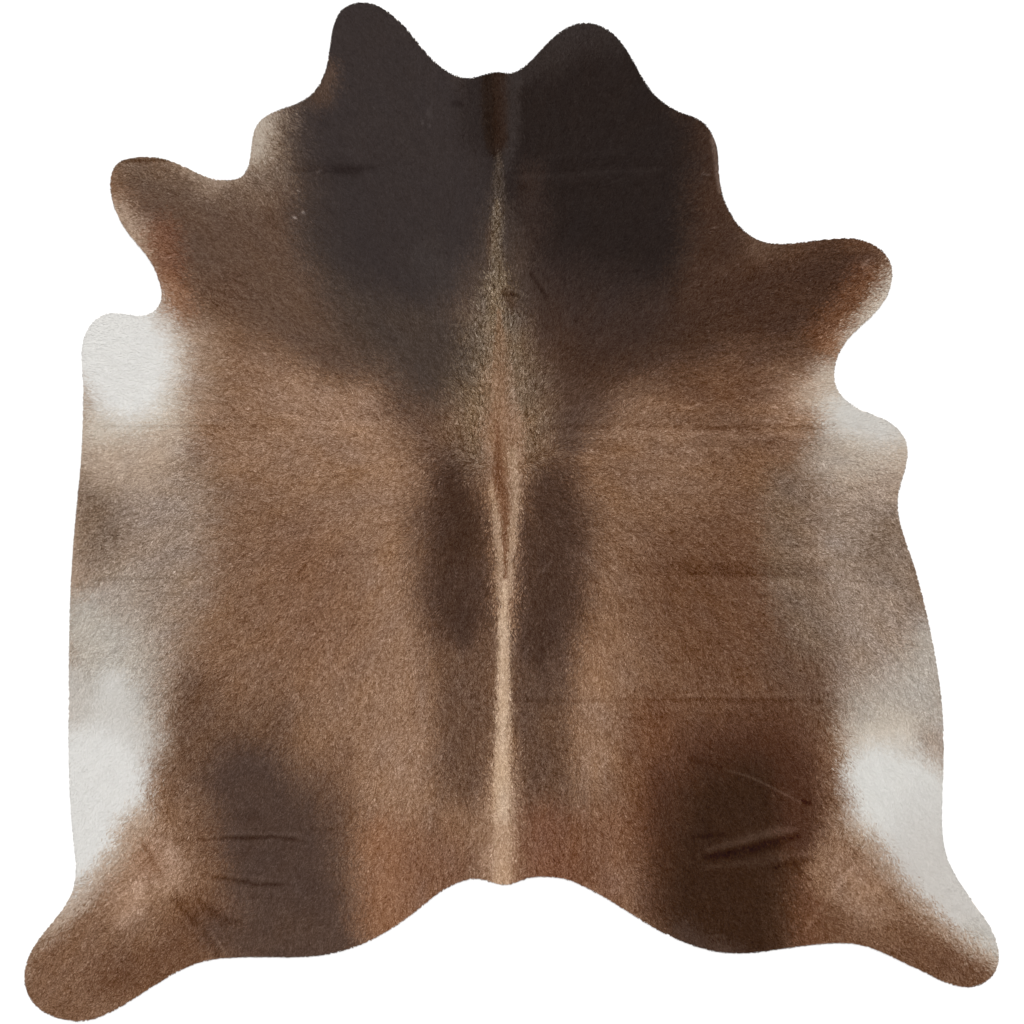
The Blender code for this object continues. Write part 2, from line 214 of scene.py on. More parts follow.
# The coat's markings, painted in this order over an all-brown hide. A row is the tone, how softly
# the marking ends (0 hard, 1 faded over its whole width), how fully it covers, and its path: each
# point's place and the marking's half width there.
MARKINGS = {
    "left ribs": (Tone.FAWN, 0.9, 1.0, (-46, 22, 13), (-26, 22, 13)),
    "left ribs, pale": (Tone.SAND, 0.9, 0.7, (-44.6, 24, 5), (-34, 18.6, 5.8), (-28, 15.6, 5.4)),
    "left ribs, lower": (Tone.FAWN, 0.9, 0.6, (-51, 11, 7), (-40, 8, 7), (-37, 0, 7)),
    "left ribs, outer": (Tone.SAND, 0.9, 0.45, (-66, 19, 4), (-61, 14, 4)),
    "left ribs, inner": (
        Tone.FAWN, 0.9, 0.85, (-25, 6, 8), (-25, -20, 8), (-25, -44, 8.5), (-25.5, -58, 7.5),
    ),
    "left loin, outer": (Tone.FAWN, 0.9, 0.45, (-38, -32, 6), (-39, -44, 6)),
    "left loin, lower": (Tone.RUSSET, 0.9, 0.35, (-38, -56, 5), (-37, -66, 6)),
    "left loin": (Tone.SAND, 0.9, 0.35, (-24, -54, 7), (-25, -60, 6)),
    "left barrel": (Tone.CHESTNUT, 0.9, 0.2, (-44, -9, 8), (-42, -26, 10)),
    "right ribs": (Tone.FAWN, 0.9, 0.4, (27, 20, 7), (35, 14, 8)),
    "right barrel": (Tone.RUSSET, 0.8, 0.95, (46, -14, 12), (46, -34, 14), (52, -44, 14)),
    "right barrel, inner": (Tone.RUSSET, 0.9, 0.55, (34, -10, 8), (35, -21, 8)),
    "right ribs, outer": (Tone.RUSSET, 0.9, 0.35, (54, 12, 10), (54, -2, 8)),
    "right ribs, fade": (Tone.SAND, 0.9, 0.75, (56, 25, 4), (61, 22.4, 5.2)),
    "right belly, inner": (Tone.SAND, 0.9, 0.9, (63, 25, 7), (57, 25, 5)),
    "right loin": (Tone.AMBER, 0.9, 0.8, (17.5, -30, 6), (17.5, -36, 6)),
    "right loin, lower": (Tone.FAWN, 0.9, 0.8, (17.5, -42, 6), (17.5, -52, 5.6)),
    "right loin, outer": (Tone.HENNA, 0.9, 0.9, (31, -46, 6), (32, -66, 8)),
    "left foreleg": (
        Tone.COCOA, 0.5, 1.0, (-78, 66, 10), (-62, 60, 14), (-48, 52, 16), (-36, 38, 10),
    ),
    "left foreleg, lower": (Tone.DRAB, 0.9, 0.85, (-67, 45, 4.6), (-61, 47, 4)),
    "left foreleg, lower edge": (Tone.FAWN, 0.8, 0.9, (-88, 67, 5), (-82, 57, 6), (-78, 48, 5)),
    "left foreleg, pale edge": (
        Tone.TAN, 0.8, 0.7, (-85, 65, 2.2), (-80.8, 58.4, 3.7), (-78, 51, 3), (-76.5, 47, 2.6),
    ),
    "left foreleg, tip": (
        Tone.ASH, 0.9, 0.5, (-83, 75, 3), (-74, 72.5, 4), (-64, 69, 4.4), (-56, 70, 4.8),
    ),
    "left foreleg, inside": (
        Tone.CHESTNUT, 0.8, 0.8, (-75, 60, 3.5), (-73.5, 48, 3.5), (-72, 44, 3),
    ),
    "left foreleg, red edge": (Tone.COPPER, 0.9, 0.6, (-74.6, 51, 1.8), (-71.8, 45, 2.4)),
    "left foreleg, upper edge": (
        Tone.TAN, 0.9, 0.75, (-71, 76.5, 2.4), (-64, 72.5, 3), (-58, 73.5, 2.4),
    ),
    "left shoulder": (Tone.ASH, 0.9, 1.0, (-49.8, 84, 8.4), (-51.6, 74, 5.4)),
    "left shoulder, edge": (Tone.CREAM, 0.9, 0.75, (-54.8, 84.4, 3.8), (-55.3, 78, 3)),
    "right shoulder": (Tone.RUSSET, 0.9, 0.8, (40, 27.6, 7.4), (51, 27, 6.4)),
    "right foreleg": (Tone.WALNUT, 0.7, 1.0, (44, 44.6, 9.8), (58, 46, 12.8), (76, 52, 11)),
    "right foreleg, inside": (Tone.CHESTNUT, 0.8, 0.5, (71, 43, 3), (76, 51, 3.2)),
    "right foreleg, tip": (Tone.RUSSET, 0.9, 0.7, (74, 59, 3), (81, 57, 4)),
    "right foreleg, upper": (Tone.COCOA, 0.9, 0.8, (48, 59, 3.5), (56, 58.5, 3.5)),
    "right foreleg, fade": (Tone.SAND, 0.9, 0.55, (83, 55, 3), (79, 46, 4), (73, 38.5, 4.8)),
    "right foreleg, red edge": (
        Tone.HENNA, 0.9, 0.8, (67, 38.4, 3.4), (72.6, 44.4, 2.4), (77.2, 50.6, 2),
    ),
    "right foreleg, corner": (Tone.COPPER, 0.9, 0.8, (68.8, 35.4, 2.4), (71.4, 38, 2)),
    "right foreleg, edge": (
        Tone.CREAM, 0.9, 1.0, (86, 57, 2), (84.4, 50, 3.2), (80, 42.5, 4), (75, 36, 3.6),
    ),
    "left withers": (Tone.DRAB, 0.9, 0.8, (-21, 24, 7), (-15, 12, 5)),
    "right withers": (Tone.SMOKE, 0.9, 0.75, (10, 32, 9), (13.6, 23.8, 7.4), (12, 15, 3)),
    "poll": (Tone.CHARCOAL, 0.5, 1.0, (-3, 98, 10), (-3, 66, 9)),
    "left neck, lower": (Tone.SOOT, 0.6, 1.0, (-34, 56, 10), (-26, 46, 13), (-16, 34, 11)),
    "left neck, outer": (Tone.SOOT, 0.8, 0.85, (-40.4, 86, 5.4), (-42.4, 74, 5.8), (-41.4, 62, 6)),
    # Painted sheen: the left of the neck is the same black coat as the right, painted lighter.
    "left neck": (Tone.CHARCOAL, 0.3, 1.0, (-32, 103, 16), (-25, 82, 20), (-21, 66, 20)),
    "left neck, edge": (Tone.COCOA, 0.9, 0.7, (-39, 95, 2), (-41, 90, 3)),
    "left neck, crest": (Tone.CHARCOAL, 0.9, 0.8, (-24, 62, 14), (-20, 54, 6.6)),
    "left neck, lowest": (Tone.GRAPHITE, 0.9, 0.6, (-18, 54, 4.5), (-14, 50, 4.5)),
    "right neck, lower": (Tone.UMBER, 0.7, 1.0, (14, 46, 13), (32, 42, 12), (18, 36, 10)),
    "right neck, edge": (Tone.UMBER, 0.6, 1.0, (39.5, 84, 7), (42, 68, 8.6), (43.4, 58, 7)),
    "right neck": (Tone.BLACK, 0.3, 1.0, (14, 98, 17), (18, 78, 22), (20.8, 62, 17.6)),
    "right neck, crest": (Tone.BLACK, 0.8, 0.8, (16, 62, 15), (24, 54, 10)),
    "right neck, inner": (Tone.LOAM, 0.9, 0.6, (4, 72, 3), (4.4, 60, 4)),
    "right neck, lowest": (Tone.LOAM, 0.9, 0.75, (10, 46, 8), (26, 42, 8)),
    "right neck, point": (Tone.GRAPHITE, 0.9, 0.5, (14, 105, 5), (22, 104, 5)),
    "poll, rim": (Tone.GRAPHITE, 0.9, 0.45, (1.5, 94, 2.5), (9, 99.5, 4.5)),
    "poll, left": (Tone.BLACK, 0.9, 0.6, (-8, 92, 3), (-8, 80, 2.5)),
    "left flank, inner": (Tone.DRAB, 0.8, 0.8, (-69.4, -39, 6), (-66, -52, 8.6)),
    "left flank": (
        Tone.TAUPE, 0.55, 0.95,
        (-84, 12, 12), (-78, 2, 14), (-80.6, -14, 15), (-84.4, -34, 12), (-84.4, -46, 8.6),
    ),
    "left flank, edge": (Tone.ASH, 0.9, 0.95, (-89.4, 6, 5.6), (-89.4, -6, 5.2)),
    "left flank, upper pale": (Tone.SILVER, 0.9, 0.38, (-84, -18, 6), (-83.4, -28, 7.4)),
    "left flank, rim": (Tone.TAN, 0.9, 0.6, (-96, 0, 2.5), (-96, -16, 3.5)),
    "left flank, pale": (
        Tone.SILVER, 0.7, 0.9, (-92, -24, 6), (-88, -32, 8.6), (-87, -38, 9.6), (-86.6, -46, 9.4),
    ),
    "left flank, upper white": (
        Tone.MIST, 0.8, 0.85, (-86, -36.4, 3), (-86, -42, 5.4), (-85.2, -49, 8.6),
    ),
    "left flank, white rim": (Tone.MIST, 0.9, 0.65, (-96, -36, 3), (-96, -45, 4), (-96, -52, 4)),
    "left flank, white": (
        Tone.WHITE, 0.25, 1.0,
        (-93, -59, 11.5), (-91.8, -60, 13.6), (-95, -67, 12.7), (-98.8, -76, 11.5), (-102, -85, 8),
    ),
    "left belly, fringe": (
        Tone.TAN, 0.9, 1.0, (-76, 32.8, 10), (-75.6, 28.6, 9.5), (-76.2, 21, 5.2),
    ),
    "left belly, red edge": (Tone.COPPER, 0.9, 0.5, (-73.4, 44.8, 2.2), (-70, 43.6, 2.6)),
    "left belly, lower": (Tone.CREAM, 0.8, 0.9, (-78, 20, 6.8), (-88, 17.5, 6.6)),
    "left belly, rim": (Tone.TAN, 0.9, 0.85, (-75, 14.4, 4), (-81, 10, 6), (-88, 9.4, 4.6)),
    "left belly": (
        Tone.CHALK, 0.4, 1.0, (-87.5, 38.5, 13), (-83.5, 33, 12.2), (-83, 29, 9.4), (-83, 28, 8),
    ),
    "left belly, edge": (Tone.TAN, 0.9, 0.5, (-94, 25, 2.3), (-94.5, 14, 3.6)),
    "right flank, inner": (Tone.DRAB, 0.8, 0.8, (70, -30, 6), (68, -40, 6)),
    "right flank, inmost": (Tone.DRAB, 0.9, 0.8, (61, -20, 5), (60, -34, 6)),
    "right flank": (
        Tone.TAUPE, 0.5, 0.98, (76, 10, 12), (76, -8, 12), (80.5, -24, 12.5), (84, -40, 13),
    ),
    "right flank, shade": (Tone.ASH, 0.8, 0.8, (59.4, 4, 5.6), (59.4, -12, 5.4), (65, -26, 5)),
    "right flank, edge": (Tone.ASH, 0.9, 0.7, (81, -4, 3.4), (79, -10, 5)),
    "right flank, lower edge": (Tone.ASH, 0.9, 0.5, (86, -13, 3.2), (88, -19, 3.2)),
    "right flank, pale": (Tone.SILVER, 0.8, 0.75, (93, -26, 5), (88, -40, 8.4), (79, -44.5, 7.6)),
    "right flank, upper white": (Tone.CREAM, 0.9, 0.75, (75.8, -49.5, 4.2), (83.6, -48.4, 4)),
    "right flank, white rim": (Tone.MIST, 0.9, 0.4, (94, -45, 2), (94, -56, 2)),
    "right flank, white": (
        Tone.PEARL, 0.4, 1.0, (79, -57.6, 7.8), (84, -61.8, 11.5), (92.5, -69, 10.8),
    ),
    "right shank, white": (
        Tone.MIST, 0.45, 1.0, (91.5, -68, 10), (97, -80, 9.8), (104.5, -88.5, 7.5),
    ),
    "right shank, dull white": (Tone.BONE, 0.9, 0.9, (90, -76, 8), (97, -86, 7)),
    "right shank, end": (Tone.SILVER, 0.9, 0.7, (100, -91, 3.5), (105, -97, 3.5)),
    "right belly": (Tone.CREAM, 0.65, 1.0, (70.4, 26, 6), (76, 20, 8.2), (84, 15, 6)),
    "right belly, tan": (Tone.TAN, 0.9, 0.6, (63.5, 24.5, 3), (68.5, 27, 2.6)),
    "right belly, white": (Tone.MIST, 0.8, 0.85, (73, 21, 5), (81, 16.5, 5)),
    "right belly, rim": (Tone.TAN, 0.9, 0.6, (74, 10, 5), (84, 8.6, 6)),
    "right belly, silver": (Tone.SILVER, 0.9, 0.4, (67, 11.6, 4.4), (74, 10.6, 4.4)),
    "left haunch, above": (Tone.DRAB, 0.9, 0.7, (-63, -55, 7), (-53, -47, 7)),
    "left haunch": (
        Tone.SMOKE, 0.6, 1.0, (-56, -59, 9), (-51.2, -70, 14), (-48, -84, 14), (-44, -98, 14),
    ),
    "left haunch, lower": (Tone.COCOA, 0.9, 0.25, (-56, -87, 5), (-41, -94, 6)),
    "right haunch, upper": (Tone.MAHOGANY, 0.8, 0.95, (44, -54, 9), (56, -52, 9), (59, -60, 8)),
    "right haunch, inner": (
        Tone.MAHOGANY, 0.9, 0.8, (33.5, -60, 4.6), (33.4, -72, 5.6), (33.4, -84, 5),
    ),
    "right haunch, lower": (Tone.HENNA, 0.8, 0.9, (60.5, -78, 4.5), (62.5, -86, 6), (64, -91, 5.5)),
    "right haunch": (
        Tone.BARK, 0.5, 1.0, (52, -63, 10), (49, -68, 14.2), (45, -80, 12.8), (45, -94, 12.6),
    ),
    "right haunch, lowest": (Tone.BARK, 0.7, 0.8, (49.5, -85, 10.2), (50, -93, 9)),
    "right haunch, outer": (Tone.MAHOGANY, 0.8, 0.9, (60.5, -56, 4.5), (62, -70, 4)),
    # Painted highlight along the lower edge of the right haunch.
    "right haunch, rim": (Tone.SMOKE, 0.9, 0.7, (36, -91, 2.6), (42, -94, 2.4), (48, -95, 2)),
    "left rump": (Tone.COPPER, 0.8, 0.9, (-27, -72, 6), (-26, -88, 7)),
    "right rump": (Tone.CHESTNUT, 0.9, 0.5, (20, -70, 6), (20, -82, 6)),
    "right rump, dark": (Tone.HENNA, 0.9, 0.7, (12, -69, 4.5), (12.6, -77, 4.5)),
    "left rump, inner": (Tone.CHESTNUT, 0.9, 0.5, (-16, -76, 7), (-14, -83, 6)),
    "left shank": (Tone.BROWN, 0.6, 1.0, (-71.5, -76.5, 7), (-79.2, -85.6, 10), (-96, -102.5, 14)),
    "left shank, upper": (
        Tone.SAND, 0.9, 0.95, (-79.5, -70.5, 4.2), (-76.4, -76, 5.4), (-83, -82, 5.4),
    ),
    "left shank, red": (Tone.COPPER, 0.9, 0.4, (-80.5, -71.5, 3.2), (-78, -75.6, 3)),
    "left shank, root": (Tone.RUSSET, 0.9, 0.4, (-66.2, -70, 3.4), (-64.6, -76, 3.4)),
    "left shank, edge": (
        Tone.TAN, 0.9, 0.65,
        (-80.2, -66.5, 3), (-82.6, -71, 2.8), (-85.8, -75.8, 2.4), (-91.6, -81.6, 2),
        (-94.8, -84.8, 2.2), (-99.6, -89.6, 1.8), (-103.2, -94, 1.5), (-105.5, -100, 1.5),
    ),
    "left shank, shade": (
        Tone.RUSSET, 0.8, 0.9, (-66, -88, 6), (-74, -97.5, 6), (-85.4, -100.6, 5.2),
    ),
    "left shank, dark root": (Tone.SMOKE, 0.9, 0.6, (-63, -90.6, 4), (-60.4, -92, 4)),
    "left shank, tip": (Tone.RUST, 0.9, 0.4, (-98, -104, 10), (-104, -98, 8)),
    "right shank": (
        Tone.BROWN, 0.35, 1.0,
        (71, -76.4, 7), (75.4, -81.8, 7.8), (82.2, -89.8, 8.2), (92.3, -97.5, 7), (98, -102, 7),
    ),
    "right shank, middle": (Tone.FAWN, 0.9, 0.95, (71, -77, 4), (77, -79, 4), (76, -84, 4.6)),
    "right shank, tip": (
        Tone.RUSSET, 0.8, 0.65,
        (68, -89, 4), (76, -93.5, 3.5), (86, -93.5, 4.5), (94, -97, 5), (99, -102, 4.5),
    ),
    "right shank, fringe": (
        Tone.TAN, 0.8, 0.5,
        (74.5, -69, 2.5), (79.8, -75.8, 1.9), (86.8, -83.6, 1.6),
        (91, -88.2, 2.2), (98, -93, 2), (104, -97, 2),
    ),
    "right shank, dark end": (Tone.RUSSET, 0.9, 0.8, (88, -97.4, 4), (97, -101.4, 4.6)),
    "left of the loin": (Tone.DRAB, 0.7, 0.9, (-11, -22, 8.4), (-9.6, -38, 7), (-9.5, -56, 6.4)),
    "right of the loin": (
        Tone.DRAB, 0.6, 1.0,
        (6.5, -24, 9), (6, -38, 6.6), (6, -46, 6.2), (6.5, -60, 6.5), (6.5, -68, 5),
    ),
    "right of the loin, upper": (Tone.SMOKE, 0.9, 0.45, (6, -28, 6), (6, -38, 4.5)),
    "right rump, inner": (Tone.CHESTNUT, 0.9, 0.9, (7, -69, 6), (8, -80, 7)),
    "left of the spine": (
        Tone.UMBER, 0.8, 0.95,
        (-13, 7, 4.4), (-12.2, -2, 8), (-11.8, -14, 8.1), (-11, -21, 6), (-10, -27, 2.5),
    ),
    "left of the spine, dark": (Tone.BARK, 0.9, 0.4, (-10.5, 2, 3), (-10, -6, 3)),
    "right of the spine": (
        Tone.UMBER, 0.7, 0.9,
        (9, 5.6, 5.4), (8.7, -3, 8.4), (8.2, -18, 7.4), (7, -25, 4.5), (6, -32, 2),
    ),
    "crest": (Tone.SOOT, 1.0, 1.0, (-3, 64, 3), (-3, 48, 7)),
    "withers": (Tone.FLAX, 1.0, 1.0, (-3, 50, 2.2), (-3.2, 37, 6), (-2.5, 26, 8), (-2.2, 18, 8)),
    "withers, bright": (Tone.SAND, 0.9, 0.55, (-2.6, 28, 3.4), (-2, 17, 3)),
    "spine": (
        Tone.FAWN, 0.4, 0.85,
        (-1.8, 18, 5), (-1.6, 8, 3.9), (-1.3, 2, 3.2), (-1.1, -4, 2.9),
        (-1.2, -10, 2.7), (-1.4, -18, 2.2), (-1.4, -26, 1.4),
    ),
    "croup": (Tone.SAND, 0.8, 0.65, (-1.5, -50, 2.5), (-2.2, -66, 4.2), (-2.8, -80, 4.2)),
    "stripe": (
        Tone.STRAW, 0.8, 0.5, (-1.8, -42, 1), (-2, -58, 2), (-2.2, -70, 2.3), (-2.4, -82, 2.5),
    ),
}

# Narrow markings, painted over the broad ones: the crest, the two pale arms and the red line that
# cross the whorl, and the stripe to the tail. The rows are as in MARKINGS.
FINE_MARKINGS = {
    "crest, dark": (Tone.PITCH, 0.5, 1.0, (-4.8, 95, 1.7), (-4.6, 84, 1.7), (-4, 77.5, 1.1)),
    "crest, brown": (Tone.BARK, 0.7, 0.5, (-2.2, 95, 1.6), (-2.2, 79, 1.4)),
    "crest, light": (Tone.GRAPHITE, 0.8, 0.5, (0.2, 93, 1.6), (0.4, 80, 1.4), (-1.4, 74, 1)),
    "neck line, top": (Tone.FLAX, 0.8, 0.35, (-2.8, 77, 0.5), (-2.8, 70, 1.4), (-2.9, 63, 1.4)),
    "neck line": (
        Tone.FLAX, 0.8, 0.75, (-3.1, 67, 0.4), (-3.2, 61, 1.3), (-3.3, 57, 1.5), (-3.2, 47, 1.9),
    ),
    "neck line, left": (Tone.UMBER, 0.8, 0.35, (-4.9, 62, 0.5), (-4.9, 52, 0.5)),
    "poll spot": (Tone.UMBER, 0.8, 0.5, (-1, 47, 1.2), (0.4, 44.5, 1.2)),
    "withers, left": (Tone.SAND, 0.8, 0.15, (-5, 40, 0.8), (-5, 26, 1.1), (-5.2, 14, 1.2)),
    "withers, right": (Tone.SAND, 0.8, 0.25, (-0.9, 38, 0.9), (-0.9, 26, 1.2), (0, 16, 1.4)),
    "withers, band": (
        Tone.AMBER, 0.6, 0.55, (-2.5, 43, 0.6), (-2.6, 34, 1.4), (-2.6, 24, 1.5), (-2.8, 12, 1.6),
    ),
    "left arm": (
        Tone.STRAW, 0.7, 0.65,
        (-4.2, 6, 0.35), (-3.5, 1, 0.6), (-3.0, -3, 1.1), (-2.4, -8, 1.1), (-2.2, -18, 1.1),
    ),
    "right arm": (
        Tone.STRAW, 0.7, 0.65,
        (0.2, 13, 0.8), (0.8, 7, 1.0), (0.9, 2, 1.0),
        (0.4, -3, 1.0), (0.0, -8, 0.9), (-0.7, -18, 0.9),
    ),
    "red line": (
        Tone.HENNA, 0.7, 0.7,
        (-2.9, 18.5, 0.4), (-2.9, 12, 0.9), (-2.5, 7, 1.3), (-1.6, 2, 1.0),
        (-1.4, -2, 0.8), (-1.3, -8, 0.5), (-1.3, -15, 0.3),
    ),
    "stripe": (
        Tone.WHEAT, 0.5, 1.0,
        (-1.5, -15, 0.5), (-1.6, -24, 1.3), (-1.7, -42, 1.5),
        (-1.9, -50, 1.6), (-2, -60, 1.8), (-2.1, -81, 2.0),
    ),
    "stripe, end": (Tone.COPPER, 0.9, 0.3, (-2.1, -69, 2.4), (-2.1, -81, 2.6)),
}

# Creases, scars and flecks that lighten or darken the coat under them. A row is what is added to
# red, green and blue alike, from 0 to 255, and the path with its half widths. The paths were placed
# by hand, but 39 of the changes are what a scratch script worked out from shares set by hand.
# Among them, the fold, wrinkle and crease strokes are painted shade in the troughs and painted
# highlight beside them, and two strokes are painted shade and painted highlight along the cut edge.
STROKES = {
    # Painted shade along the rib fold and painted highlight just below it.
    "rib fold, left": (-12, (-88, 18.4, 0.5), (-45, 18.4, 0.6)),
    "rib fold, right": (-13, (5, 18.3, 0.4), (30, 18.6, 0.6), (50, 18, 1.0), (67, 18, 0.9)),
    "rib fold, deepest": (-9, (57, 18, 0.6), (65, 18.2, 0.6)),
    "rib fold, below": (6, (8, 16.4, 1.2), (58, 16.4, 1.4)),
    # Painted highlight along the withers fold and painted shade in a dent below it.
    "withers fold": (4, (0.6, 71.9, 0.8), (32.3, 74, 0.8)),
    "withers dent": (-5, (2, 70.2, 1.4), (3, 70, 1.4)),
    # Painted shade in the poll's wrinkles.
    "poll wrinkle": (-19, (-1.5, 46.8, 0.8), (1.3, 46.6, 0.8)),
    "poll wrinkle, right": (-12, (4.1, 51.2, 0.8), (7.5, 46.2, 0.9)),
    "whorl": (-12, (-2.9, 8.6, 0.8), (-2.1, 4.6, 0.8)),
    # Painted shade in the fold over the left shoulder.
    "shoulder fold, left": (-9, (-46.5, 73.6, 1.1), (-37, 73.8, 2.0), (-30, 74.2, 1.0)),
    # Painted shade along the barrel folds and the loin fold, and painted highlight above the loin
    # fold.
    "barrel fold, left": (-11, (-39, -9.2, 0.8), (-25.6, -9.2, 0.9), (-19, -8.6, 0.5)),
    "barrel fold, left end": (-6, (-17, -8.2, 0.5), (-10, -7.6, 0.6)),
    "barrel fold, second": (-7, (-15.5, -11.2, 0.8), (-9.5, -11, 0.7)),
    "barrel fold, far left": (-14, (-89.6, -14.5, 0.7), (-70.7, -14.5, 0.7)),
    "barrel band, right": (-11, (26, -12.4, 2.6), (67, -12.8, 2.6)),
    "barrel fold, right": (-9, (38, -13.3, 0.7), (62, -13.7, 0.7)),
    "loin fold": (-14, (0.5, -40.8, 0.5), (40, -40.6, 0.7), (74, -41, 0.6)),
    "loin fold, above": (11, (35, -39.6, 0.6), (64, -39.4, 0.6)),
    # Painted shade in the left haunch's creases and painted highlight above them.
    "left haunch, upper": (
        -22,
        (-66.5, -71, 0.4), (-61, -70.2, 0.6), (-57, -70.5, 0.7),
        (-51.5, -70, 0.6), (-45, -71, 0.35),
    ),
    "left haunch, upper light": (9, (-66, -70, 0.5), (-57, -69.2, 0.7), (-45, -69.6, 0.5)),
    "left haunch, outer": (-14, (-73, -70.6, 0.4), (-66, -70.8, 0.45)),
    "left haunch, inner": (-9, (-43.5, -68.4, 0.7), (-36, -68.4, 0.7)),
    "left haunch, lower": (
        -24, (-64.5, -78.7, 0.4), (-57, -79.8, 0.6), (-55.5, -80.4, 0.6), (-49, -80.4, 0.35),
    ),
    "left haunch, lower light": (8, (-63, -77.8, 0.5), (-56, -78.8, 0.7), (-50, -79.4, 0.5)),
    "left haunch, spot": (-8, (-57, -65.6, 2.2), (-55, -65.6, 2.2)),
    "left shank, dark band": (-16, (-73.2, -82.8, 1.2), (-70.4, -86.2, 1.8), (-68, -88.6, 1.3)),
    "left shank, dark streak": (-14, (-67, -84.2, 1.3), (-62.2, -88.4, 1.7), (-58.4, -88.4, 1.2)),
    "left shank, scar": (14, (-65, -90, 0.4), (-61.6, -95.2, 0.5)),
    "left shank, by the scar": (-13, (-66.4, -90.5, 1.0), (-63.2, -95.4, 1.0)),
    "left shank, pale": (20, (-80, -81.4, 3.0), (-80.8, -85.6, 3), (-84, -88.4, 2.8)),
    "left shank, pale top": (17, (-73, -73.6, 3), (-73.2, -79.6, 4)),
    "left shank, red spot": (-14, (-79.5, -72.1, 1.3), (-77.4, -74.8, 1.3)),
    # Painted shade in the crease down the left shank.
    "left shank, crease": (-9, (-82, -67.4, 0.6), (-76, -77.6, 0.7), (-68, -87.4, 0.6)),
    "left flank, spots": (-4, (-75.4, -55.4, 2.2), (-73.6, -63.2, 2.2)),
    # Painted highlight on the right haunch's ridges and painted shade in its troughs and in the
    # crease above them.
    "right haunch, ridge": (
        18,
        (42.5, -72.9, 0.9), (49, -71.1, 1.6), (53, -70, 1.9), (57, -68.9, 1.7), (61, -68.4, 1.1),
    ),
    "right haunch, trough": (
        -15, (42, -74.6, 1), (48, -73.5, 1.6), (53, -72.3, 1.7), (58, -71, 1.5), (62, -70, 0.9),
    ),
    "right haunch, second ridge": (
        11, (42, -76.8, 0.9), (52, -75.7, 1.3), (58, -74.4, 1.3), (63.5, -73.7, 0.9),
    ),
    "right haunch, second trough": (-11, (57, -76.6, 0.9), (62, -75.8, 1.3), (66, -75, 0.9)),
    "right haunch, above": (-12, (39, -70.2, 0.9), (45.5, -69.7, 0.9)),
    "right haunch, scar": (
        26,
        (46, -55.5, 0.25), (50.8, -57, 0.32), (55.7, -59.2, 0.36),
        (59, -61, 0.36), (62.4, -62.7, 0.28),
    ),
    "right haunch, scar start": (-12, (38.5, -53.4, 0.9), (45, -55, 0.6)),
    "right haunch, spot": (-26, (62.9, -62.5, 0.9), (64.2, -62.9, 0.9)),
    "right haunch, outer scar": (20, (68.1, -66.7, 0.4), (70, -68.3, 0.4), (70.6, -71.3, 0.4)),
    "right flank, spots": (-17, (67.7, -62, 1.4), (70.4, -63.4, 1.2)),
    # Painted shade in the crease on the right shank.
    "right shank, crease": (-18, (75.4, -71.8, 0.8), (73.3, -74.9, 0.9), (71.6, -77.4, 0.8)),
    "right shank, pale line": (15, (73.5, -77, 0.9), (63.6, -89.6, 0.9)),
    # Painted shadow along the left foreleg's cut edge.
    "left foreleg, rim": (-31, (-84, 75.6, 0.8), (-73.5, 75.8, 0.7)),
    "left neck, fleck": (23, (-19.3, 83.9, 0.4), (-19.1, 83.6, 0.4)),
    "left neck, second fleck": (20, (-17.7, 83.3, 0.4), (-17.5, 83, 0.4)),
    "left neck, pale spot": (10, (-18, 86.4, 1.0), (-17.6, 85.4, 1.0)),
    "left neck, scratch": (25, (-42, 73, 0.4), (-41, 73.7, 0.4)),
    "left neck, dark spot": (-10, (-12.2, 88, 1.4), (-11.2, 87.8, 1.4)),
    "left neck, dark patch": (-7, (-37, 73.4, 2), (-33, 73, 2)),
    "left shoulder, fleck": (104, (-46.9, 63.5, 0.4), (-46.6, 63.3, 0.4)),
    "left shoulder, second fleck": (84, (-45, 64.6, 0.36), (-44.8, 64.4, 0.36)),
    "left shoulder, third fleck": (70, (-46.1, 69.3, 0.3), (-45.9, 69.1, 0.3)),
    "left shoulder, red spot": (12, (-45.8, 47.8, 0.9), (-45, 47.6, 0.9)),
    "right ribs, scar": (
        36,
        (36.3, 23.1, 0.3), (37.2, 22.4, 0.35), (38.8, 22.3, 0.35),
        (39.9, 23.1, 0.3), (41.2, 23, 0.3),
    ),
    "right ribs, flecks": (26, (51.2, 22.8, 0.36), (51.6, 22.6, 0.36)),
    "right ribs, outer fleck": (34, (56.2, 22.7, 0.5), (57.3, 22.3, 0.5)),
    "right shoulder, scratch": (15, (45.9, 54.8, 0.35), (45.6, 51.6, 0.35)),
    "right shoulder, fleck": (36, (43.2, 61.2, 0.33), (44.3, 61.3, 0.33)),
    "right shoulder, pale hair": (28, (41.2, 72.8, 0.4), (42.8, 72.6, 0.5)),
    # Painted highlight along the right shoulder's edge.
    "right shoulder, edge highlight": (38, (43.2, 81.4, 0.8), (44.2, 75, 0.9), (44.9, 69, 0.8)),
    "right rump, scratch": (17, (14.2, -65.2, 0.35), (16.4, -64.9, 0.35), (18.5, -65.3, 0.35)),
    "right foreleg, spot": (26, (76.7, 54, 0.9), (75.8, 53, 0.7)),
    "right of the spine, arc": (8, (8.6, -10.7, 0.6), (6, -13, 0.7), (4.3, -16.9, 0.6)),
    "right flank, fleck": (30, (66.2, -5.6, 0.6), (66.6, -5.8, 0.6)),
}

# Noise that varies the coat, drawn out along the hair. A row is its grain and the length of its
# streaks, in millimetres, and what is added to the coat's seed.
STREAKS = {
    "swirl": (20, 60, 1),
    "drift": (6, 40, 2),
    "clump": (3, 8, 3),
    "warmth": (22, 22, 4),
    "lock": (7, 14, 5),
    "wander across": (14, 20, 6),
    "wander along": (14, 20, 7),
}


